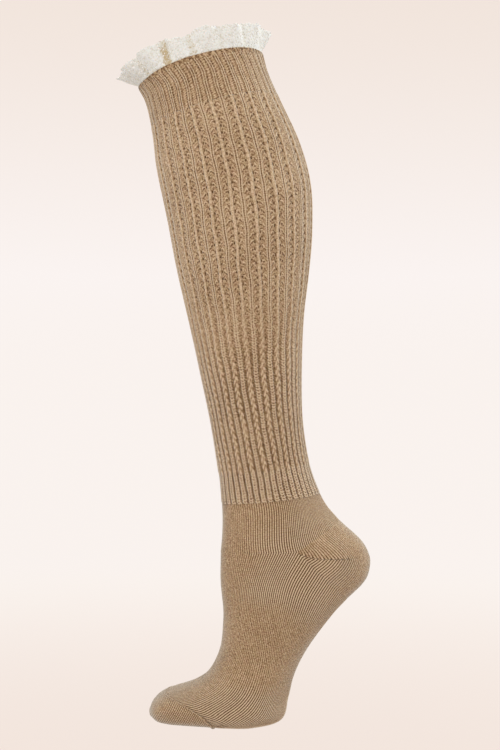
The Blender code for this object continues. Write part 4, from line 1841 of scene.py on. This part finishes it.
@dataclass
class LaceFrill:
    """Gathered lace: a net of looped thread that stands up from inside the rim."""

    tube: Tube
    finish: bpy.types.Material
    name: str = "lace_net"
    height: float = 24.0 * MM
    tuck_in: float = 5.4 * MM
    radius: float = 52.0 * MM
    columns: int = 124
    rows: int = 8
    thread: float = 0.75 * MM
    scallop: float = 1.2 * MM
    scallop_wales: int = 4
    setback: float = CLOTH + 0.45 * MM
    open_share: float = 0.40
    opening: tuple[float, float] = (0.34, 0.62)
    hole_sizes: int = 12
    bead: float = 0.40 * MM
    jitter: float = 0.32
    edge_level: float = 0.6
    gather: float = 0.30 * MM
    gather_wales: float = 1.9
    ripple: float = 0.45 * MM
    ripple_wales: float = 5.6
    # Painted shade: how deep a fold must be to darken, and how much the lace darkens where it rises
    # from the rim.
    painted_fold_shade: tuple[float, float] = (1.4 * MM, 3.0 * MM)
    painted_rim_shade: float = 0.45
    heights: tuple[float, ...] = (0.05, 0.32, 0.66, 1.0)
    flares: tuple[float, ...] = (0.0, 0.80, 1.0, 1.0)
    pushes: tuple[float, ...] = (0.0, 0.40, 0.80, 1.15)
    seed: int = 11

    def build(self) -> bpy.types.Object:
        """Work the net on a plain cylinder, then lay it on the gathered frill.

        Returns:
            The finished object.
        """
        mesh = self._cylinder()
        self._diamonds(mesh)
        self._tuck(mesh)
        self._holes(mesh)
        self._lay(mesh)
        bmesh.ops.recalc_face_normals(mesh, faces=mesh.faces)
        piece = place_piece(smooth_mesh(mesh, self.name), self.finish)
        wall = piece.modifiers.new("thread", "SOLIDIFY")
        wall.thickness = self.thread
        wall.offset = -1.0
        soft = piece.modifiers.new("round", "SUBSURF")
        soft.levels = soft.render_levels = 1
        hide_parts("lace_frill")
        return piece

    def _cylinder(self) -> bmesh.types.BMesh:
        """A grid rolled into a plain cylinder that stands on z = 0.

        Returns:
            The bmesh of the cylinder.
        """
        mesh = bmesh.new()
        bmesh.ops.create_grid(mesh, x_segments=self.columns, y_segments=self.rows, size=0.5)
        for vert in mesh.verts:
            angle = math.tau * (vert.co.x + 0.5)
            level = (vert.co.y + 0.5) * self.height
            vert.co = (self.radius * math.cos(angle), self.radius * math.sin(angle), level)
        bmesh.ops.remove_doubles(mesh, verts=mesh.verts, dist=WELD)
        return mesh

    def _diamonds(self, mesh: bmesh.types.BMesh) -> None:
        """Turn the squares into diamonds and leave a row of points at the top.

        Args:
            mesh: The net on its cylinder.
        """
        squares = [edge for edge in mesh.edges if not edge.is_boundary]
        bmesh.ops.poke(mesh, faces=mesh.faces)
        bmesh.ops.dissolve_edges(mesh, edges=squares)
        top = self.height * 0.99
        ends = [
            face for face in mesh.faces
            if len(face.verts) == 3 and max(vert.co.z for vert in face.verts) > top
        ]
        bmesh.ops.delete(mesh, geom=ends, context="FACES")

    def _tuck(self, mesh: bmesh.types.BMesh) -> None:
        """Extend the net downwards, where it is sewn inside the cuff.

        Args:
            mesh: The net on its cylinder.
        """
        low = self.height * 0.01
        for share in (0.25, 1.0):
            base = [
                edge for edge in mesh.edges
                if edge.is_boundary and all(vert.co.z < low for vert in edge.verts)
            ]
            made = bmesh.ops.extrude_edge_only(mesh, edges=base)
            moved = [item for item in made["geom"] if isinstance(item, bmesh.types.BMVert)]
            for vert in moved:
                vert.co.z = -self.tuck_in * share
            low = -self.tuck_in * share + 1e-5

    def _holes(self, mesh: bmesh.types.BMesh) -> None:
        """Open a hole in some of the diamonds and raise a knot of thread on the rest.

        Args:
            mesh: The net on its cylinder.
        """
        random = np.random.default_rng(self.seed)
        for vert in mesh.verts:
            if vert.co.z > 0.0:
                vert.co += Vector(random.uniform(-self.jitter, self.jitter, 3) * MM)
        groups: dict[int, list[bmesh.types.BMFace]] = {}
        closed: list[bmesh.types.BMFace] = []
        for face in mesh.faces:
            if face.calc_center_median().z <= 0.0 or len(face.verts) < 4:
                continue
            if random.uniform() > self.open_share:
                closed.append(face)
            else:
                size = round(random.uniform(*self.opening) * self.hole_sizes)
                groups.setdefault(size, []).append(face)
        side = math.tau * self.radius / self.columns / math.sqrt(2.0)
        for size, faces in sorted(groups.items()):
            inset = side * (1.0 - size / self.hole_sizes) / 2.0
            bmesh.ops.inset_individual(mesh, faces=faces, thickness=inset, use_even_offset=True)
        holes = [face for faces in groups.values() for face in faces]
        bmesh.ops.delete(mesh, geom=holes, context="FACES")
        bmesh.ops.poke(mesh, faces=closed, offset=self.bead)

    def push(self, wale: np.ndarray) -> np.ndarray:
        """Push of the gathered waves at each wale, in metres.

        Args:
            wale: Wale of each point.

        Returns:
            The push of each point.
        """
        total = np.zeros(len(wale))
        for wave in LACE_WAVES:
            total += wave.push * MM * hump(wrapped(wale - wave.wale, WALES), wave.width)
        return total

    def _lay(self, mesh: bmesh.types.BMesh) -> None:
        """Lay the cylinder's points on the flared and gathered frill.

        Args:
            mesh: The net on its cylinder.
        """
        places = np.array([vert.co for vert in mesh.verts])
        wale = np.mod(np.arctan2(places[:, 1], places[:, 0]) / math.tau, 1.0) * WALES
        level = places[:, 2] / self.height
        below = np.maximum(-places[:, 2], 0.0) - rim_lift(wale)
        below = np.round(below / SLIDE_STEP) * SLIDE_STEP
        base = self.tube.points(wale, below)
        outward = self.tube.normals(wale, below)
        upward = -self.tube.down(wale, below)
        marks, leans, talls = np.array(LACE_STANDING).T
        lean = np.radians(np.interp(folded_wales(wale), marks, leans))
        tall = np.interp(folded_wales(wale), marks, talls) * MM
        share = np.clip(level, 0.0, 1.0)
        lean = lean * np.interp(share, self.heights, self.flares)
        push = self.push(wale)
        edge = np.abs(np.sin(math.pi * wale / self.scallop_wales)) - self.edge_level
        rise = share * tall + edge * self.scallop * smooth(0.45, 1.0, share)
        gathers = self.gather * turns(wale / self.gather_wales) * hump(share - 0.06, 0.16)
        gathers = gathers * (level > 0.0)
        ripple = self.ripple * np.sin(math.tau * (wale / self.ripple_wales + share * 0.9)) * share
        out = rise * np.sin(lean) - self.setback + gathers + ripple
        out = out + push * np.interp(share, self.heights, self.pushes)
        points = base + upward * (rise * np.cos(lean))[:, None] + outward * out[:, None]
        # Painted shade in the deep inward folds and low on the lace by the rim, kept in the tuck
        # number.
        first, reach = self.painted_fold_shade
        tuck = np.clip((-push - first) / reach, 0.0, 1.0) * smooth(1.3, 0.5, share)
        tuck = np.maximum(tuck, self.painted_rim_shade * smooth(0.13, 0.02, share))
        layer = mesh.verts.layers.float.new("tuck")
        for vert, point, amount in zip(mesh.verts, points, tuck):
            vert.co = point
            vert[layer] = amount


@dataclass
class LaceStitches:
    """Running stitches that hold the lace inside the cuff, in two rows."""

    tube: Tube
    finish: bpy.types.Material
    depths: tuple[float, ...] = (1.8 * MM, 4.2 * MM)
    count: int = 84
    half_length: float = 1.25 * MM
    half_width: float = 0.28 * MM
    inset: float = CLOTH + 1.25 * MM
    name: str = "lace_stitches"

    def build(self) -> bpy.types.Object:
        """Make every stitch as a small spindle of thread.

        Returns:
            The finished object.
        """
        mesh = bmesh.new()
        for row, depth in enumerate(self.depths):
            wale = (np.arange(self.count) + 0.5 * row) * WALES / self.count
            along = depth - rim_lift(wale)
            normal = self.tube.normals(wale, along)
            centre = self.tube.points(wale, along) - normal * self.inset
            across = unit(self.tube.points(wale + 0.5, along) - self.tube.points(wale - 0.5, along))
            for place in range(self.count):
                self._stitch(mesh, Vector(centre[place]), Vector(across[place]), Vector(normal[place]))
        return place_piece(smooth_mesh(mesh, self.name), self.finish)

    def _stitch(
        self, mesh: bmesh.types.BMesh, centre: Vector, across: Vector, normal: Vector
    ) -> None:
        """Add one stitch.

        Args:
            mesh: The mesh of all stitches.
            centre: Middle of the stitch.
            across: Its direction.
            normal: The way its thread stands out of the cloth.
        """
        turn = Matrix((across, normal.cross(across), normal)).transposed().to_4x4()
        sizes = (self.half_length, self.half_width, self.half_width, 1.0)
        place = Matrix.Translation(centre) @ turn @ Matrix.Diagonal(sizes)
        bmesh.ops.create_icosphere(mesh, subdivisions=1, radius=1.0, matrix=place)


# --------------------------------------------------------------------------------
# Studio


class Lamp(NamedTuple):
    """A soft square light that faces the sock: its place, power in watts and colour."""

    name: str
    place: tuple[float, float, float]
    power: float
    colour: tuple[float, float, float]


LAMPS = (
    Lamp("key", (-0.55, -1.50, 1.05), 12.5, (1.0, 0.98, 0.95)),
    Lamp("left", (-1.55, 0.05, 0.45), 2.4, (1.0, 0.98, 0.96)),
    Lamp("right", (1.45, 0.50, 0.75), 16.5, (0.92, 0.98, 1.0)),
    Lamp("back", (-0.30, 1.45, 0.60), 4.0, (0.98, 0.99, 1.0)),
)


@dataclass
class Studio:
    """A round room of seamless paper, soft lights and the camera."""

    floor: float = -0.66
    inner: float = 2.0
    cove: float = 0.9
    top: float = 2.6
    sides: int = 96
    centre: tuple[float, float] = (0.035, 0.0)
    aim: tuple[float, float, float] = (0.03, 0.0, -0.25)
    light_size: float = 1.2
    glow: tuple[float, ...] = (1.0, 0.97, 0.94, 1.0)
    glow_strength: float = 0.9
    eye: tuple[float, float, float] = (0.039975, -1.25, -0.2474)
    view_height: float = 0.615

    def build(self) -> None:
        """Make the room, the lights and the camera."""
        self._paper()
        for lamp in LAMPS:
            self._light(lamp)
        self._world()
        self._camera()

    def _paper(self) -> None:
        """Spin the profile of floor, cove and wall into a room."""
        mesh = bmesh.new()
        turn = np.linspace(-math.pi / 2, 0.0, 13)
        curve = [
            (self.inner + self.cove * math.cos(angle), self.floor + self.cove * (1.0 + math.sin(angle)))
            for angle in turn
        ]
        profile = [(0.0, self.floor)] + curve + [(self.inner + self.cove, self.top)]
        verts = [mesh.verts.new((self.centre[0] + reach, self.centre[1], z)) for reach, z in profile]
        edges = [mesh.edges.new(pair) for pair in zip(verts, verts[1:])]
        bmesh.ops.spin(
            mesh, geom=verts + edges, cent=(*self.centre, 0.0), axis=(0.0, 0.0, 1.0),
            angle=math.tau, steps=self.sides, use_merge=True,
        )
        bmesh.ops.remove_doubles(mesh, verts=mesh.verts, dist=1e-5)
        bmesh.ops.recalc_face_normals(mesh, faces=mesh.faces)
        bmesh.ops.reverse_faces(mesh, faces=mesh.faces)
        data = smooth_mesh(mesh, "studio_paper")
        data.materials.append(StudioPaper("studio_paper").make())
        paper = bpy.data.objects.new("studio_paper", data)
        bpy.context.scene.collection.objects.link(paper)
        paper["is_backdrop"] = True

    def _light(self, lamp: Lamp) -> None:
        """Add a light.

        Args:
            lamp: The light's place, power and colour.
        """
        data = bpy.data.lights.new(lamp.name, "AREA")
        data.size = self.light_size
        data.energy = lamp.power
        data.color = lamp.colour
        light = bpy.data.objects.new(lamp.name, data)
        light.location = lamp.place
        aim = Vector(self.aim) - Vector(lamp.place)
        light.rotation_euler = aim.to_track_quat("-Z", "Y").to_euler()
        bpy.context.scene.collection.objects.link(light)

    def _world(self) -> None:
        """Give the world a pale even light."""
        world = bpy.data.worlds.new("studio_world")
        world.use_nodes = True
        background = world.node_tree.nodes["Background"]
        fill(background, {"Color": self.glow, "Strength": self.glow_strength})
        bpy.context.scene.world = world

    def _camera(self) -> None:
        """Stand the camera level with the sock, at the photograph's angle."""
        data = bpy.data.cameras.new("camera")
        data.sensor_fit = "VERTICAL"
        data.sensor_height = 24.0
        data.lens = data.sensor_height * -self.eye[1] / self.view_height
        data.clip_end = 20.0
        camera = bpy.data.objects.new("camera", data)
        camera.location = self.eye
        camera.rotation_euler = (math.pi / 2, 0.0, 0.0)
        bpy.context.scene.collection.objects.link(camera)
        bpy.context.scene.camera = camera
        bpy.context.scene.view_settings.view_transform = "Standard"


@dataclass
class KneeHighSock:
    """The whole sock."""

    leg: Tube = field(default_factory=lambda: Tube(LEG_SECTIONS))
    foot: Tube = field(default_factory=lambda: Tube(FOOT_SECTIONS))
    heel: Tube = field(default_factory=heel_tube)

    def build(self) -> None:
        """Build every piece, from the lace down."""
        lace = CottonLace("cream_lace").make()
        LaceFrill(self.leg, lace).build()
        LaceStitches(self.leg, lace).build()
        self._leg()
        self._foot()

    @staticmethod
    def _stretch(tube: Tube, start: str, end: str, rows: int) -> np.ndarray:
        """Distances of evenly spaced rows between two named sections."""
        return np.linspace(tube.place(start), tube.place(end), rows)

    def _leg(self) -> None:
        """Cuff, openwork leg and ankle rib."""
        cuff = CottonKnit("camel_cuff", Knit.CUFF, level=0.06).make()
        openwork = CottonKnit(
            "camel_openwork", Knit.OPENWORK, fleck=0.44, contrast=0.94, level=-0.02
        ).make()
        rib = CottonKnit(
            "camel_ankle_rib", Knit.ANKLE_RIB, fleck=0.60, contrast=1.04, level=-0.14
        ).make()
        wales = ribbed_columns()
        places = self._stretch(self.leg, "rim", "cuff_end", 36)
        Cuff("cuff_knit", "cuff", "rib_knit", self.leg, cuff, (0.26, 0.036), wales, places).build()
        places = self._stretch(self.leg, "cuff_end", "pattern_end", PERIODS * GRID_ROWS + 1)
        RibbedSheet(
            "leg_knit", "leg", "openwork_knit", self.leg, openwork, (0.27, 0.30), wales, places
        ).build()
        places = self._stretch(self.leg, "pattern_end", "rib_end", 26)
        RibbedSheet(
            "ankle_rib_knit", "ankle_rib", "rib_knit", self.leg, rib, (0.20, 0.026), wales, places
        ).build()

    def _foot(self) -> None:
        """Ankle, heel, foot, toe seam and toe."""
        knit = CottonKnit(
            "camel_plain", Knit.PLAIN, relief=0.30 * MM, fleck=0.20, contrast=1.15, level=-0.135
        )
        plain = knit.make()
        hatched = replace(knit, name="camel_toe", level=-0.14, column=0.52, course=0.42).make()
        slot, wales = "plain_knit", even_columns(576)
        places = self._stretch(self.leg, "rib_end", "gore_top", 33)
        Ankle("ankle_knit", "ankle", slot, self.leg, plain, (0.21, 0.037), wales, places, 9).build()
        gore = np.linspace(*Heel.APEX, 289)
        places = np.linspace(0.0, self.heel.knots[-1], 92)
        start = self.leg.knots[-1]
        Heel(
            "heel_knit", "heel", slot, self.heel, plain, (0.14, 0.060), gore, places, 22, start
        ).build()
        places = self._stretch(self.foot, "gore_low", "toe_seam", 130)
        Foot(
            "foot_knit", "foot", slot, self.foot, plain, (0.21, 0.165), wales, places, 30, start
        ).build()
        ToeSeam(self.foot, plain).build()
        places = self._stretch(self.foot, "toe_seam", "toe_4", 30)
        Toe("toe_knit", "toe", slot, self.foot, hatched, (0.18, 0.034), wales, places, 12).build()


def corners() -> list[list[float]]:
    """Lowest and highest corner of the shown object, as plain numbers."""
    return [[float(value) for value in corner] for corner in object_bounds()]


def main() -> None:
    """Dress the sock and light it."""
    logging.basicConfig(level=logging.INFO, format="%(message)s")
    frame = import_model()
    LOG.info("%d solids in the frame", len(frame["nodes"]))
    KneeHighSock().build()
    Studio().build()


if __name__ == "__main__":
    main()
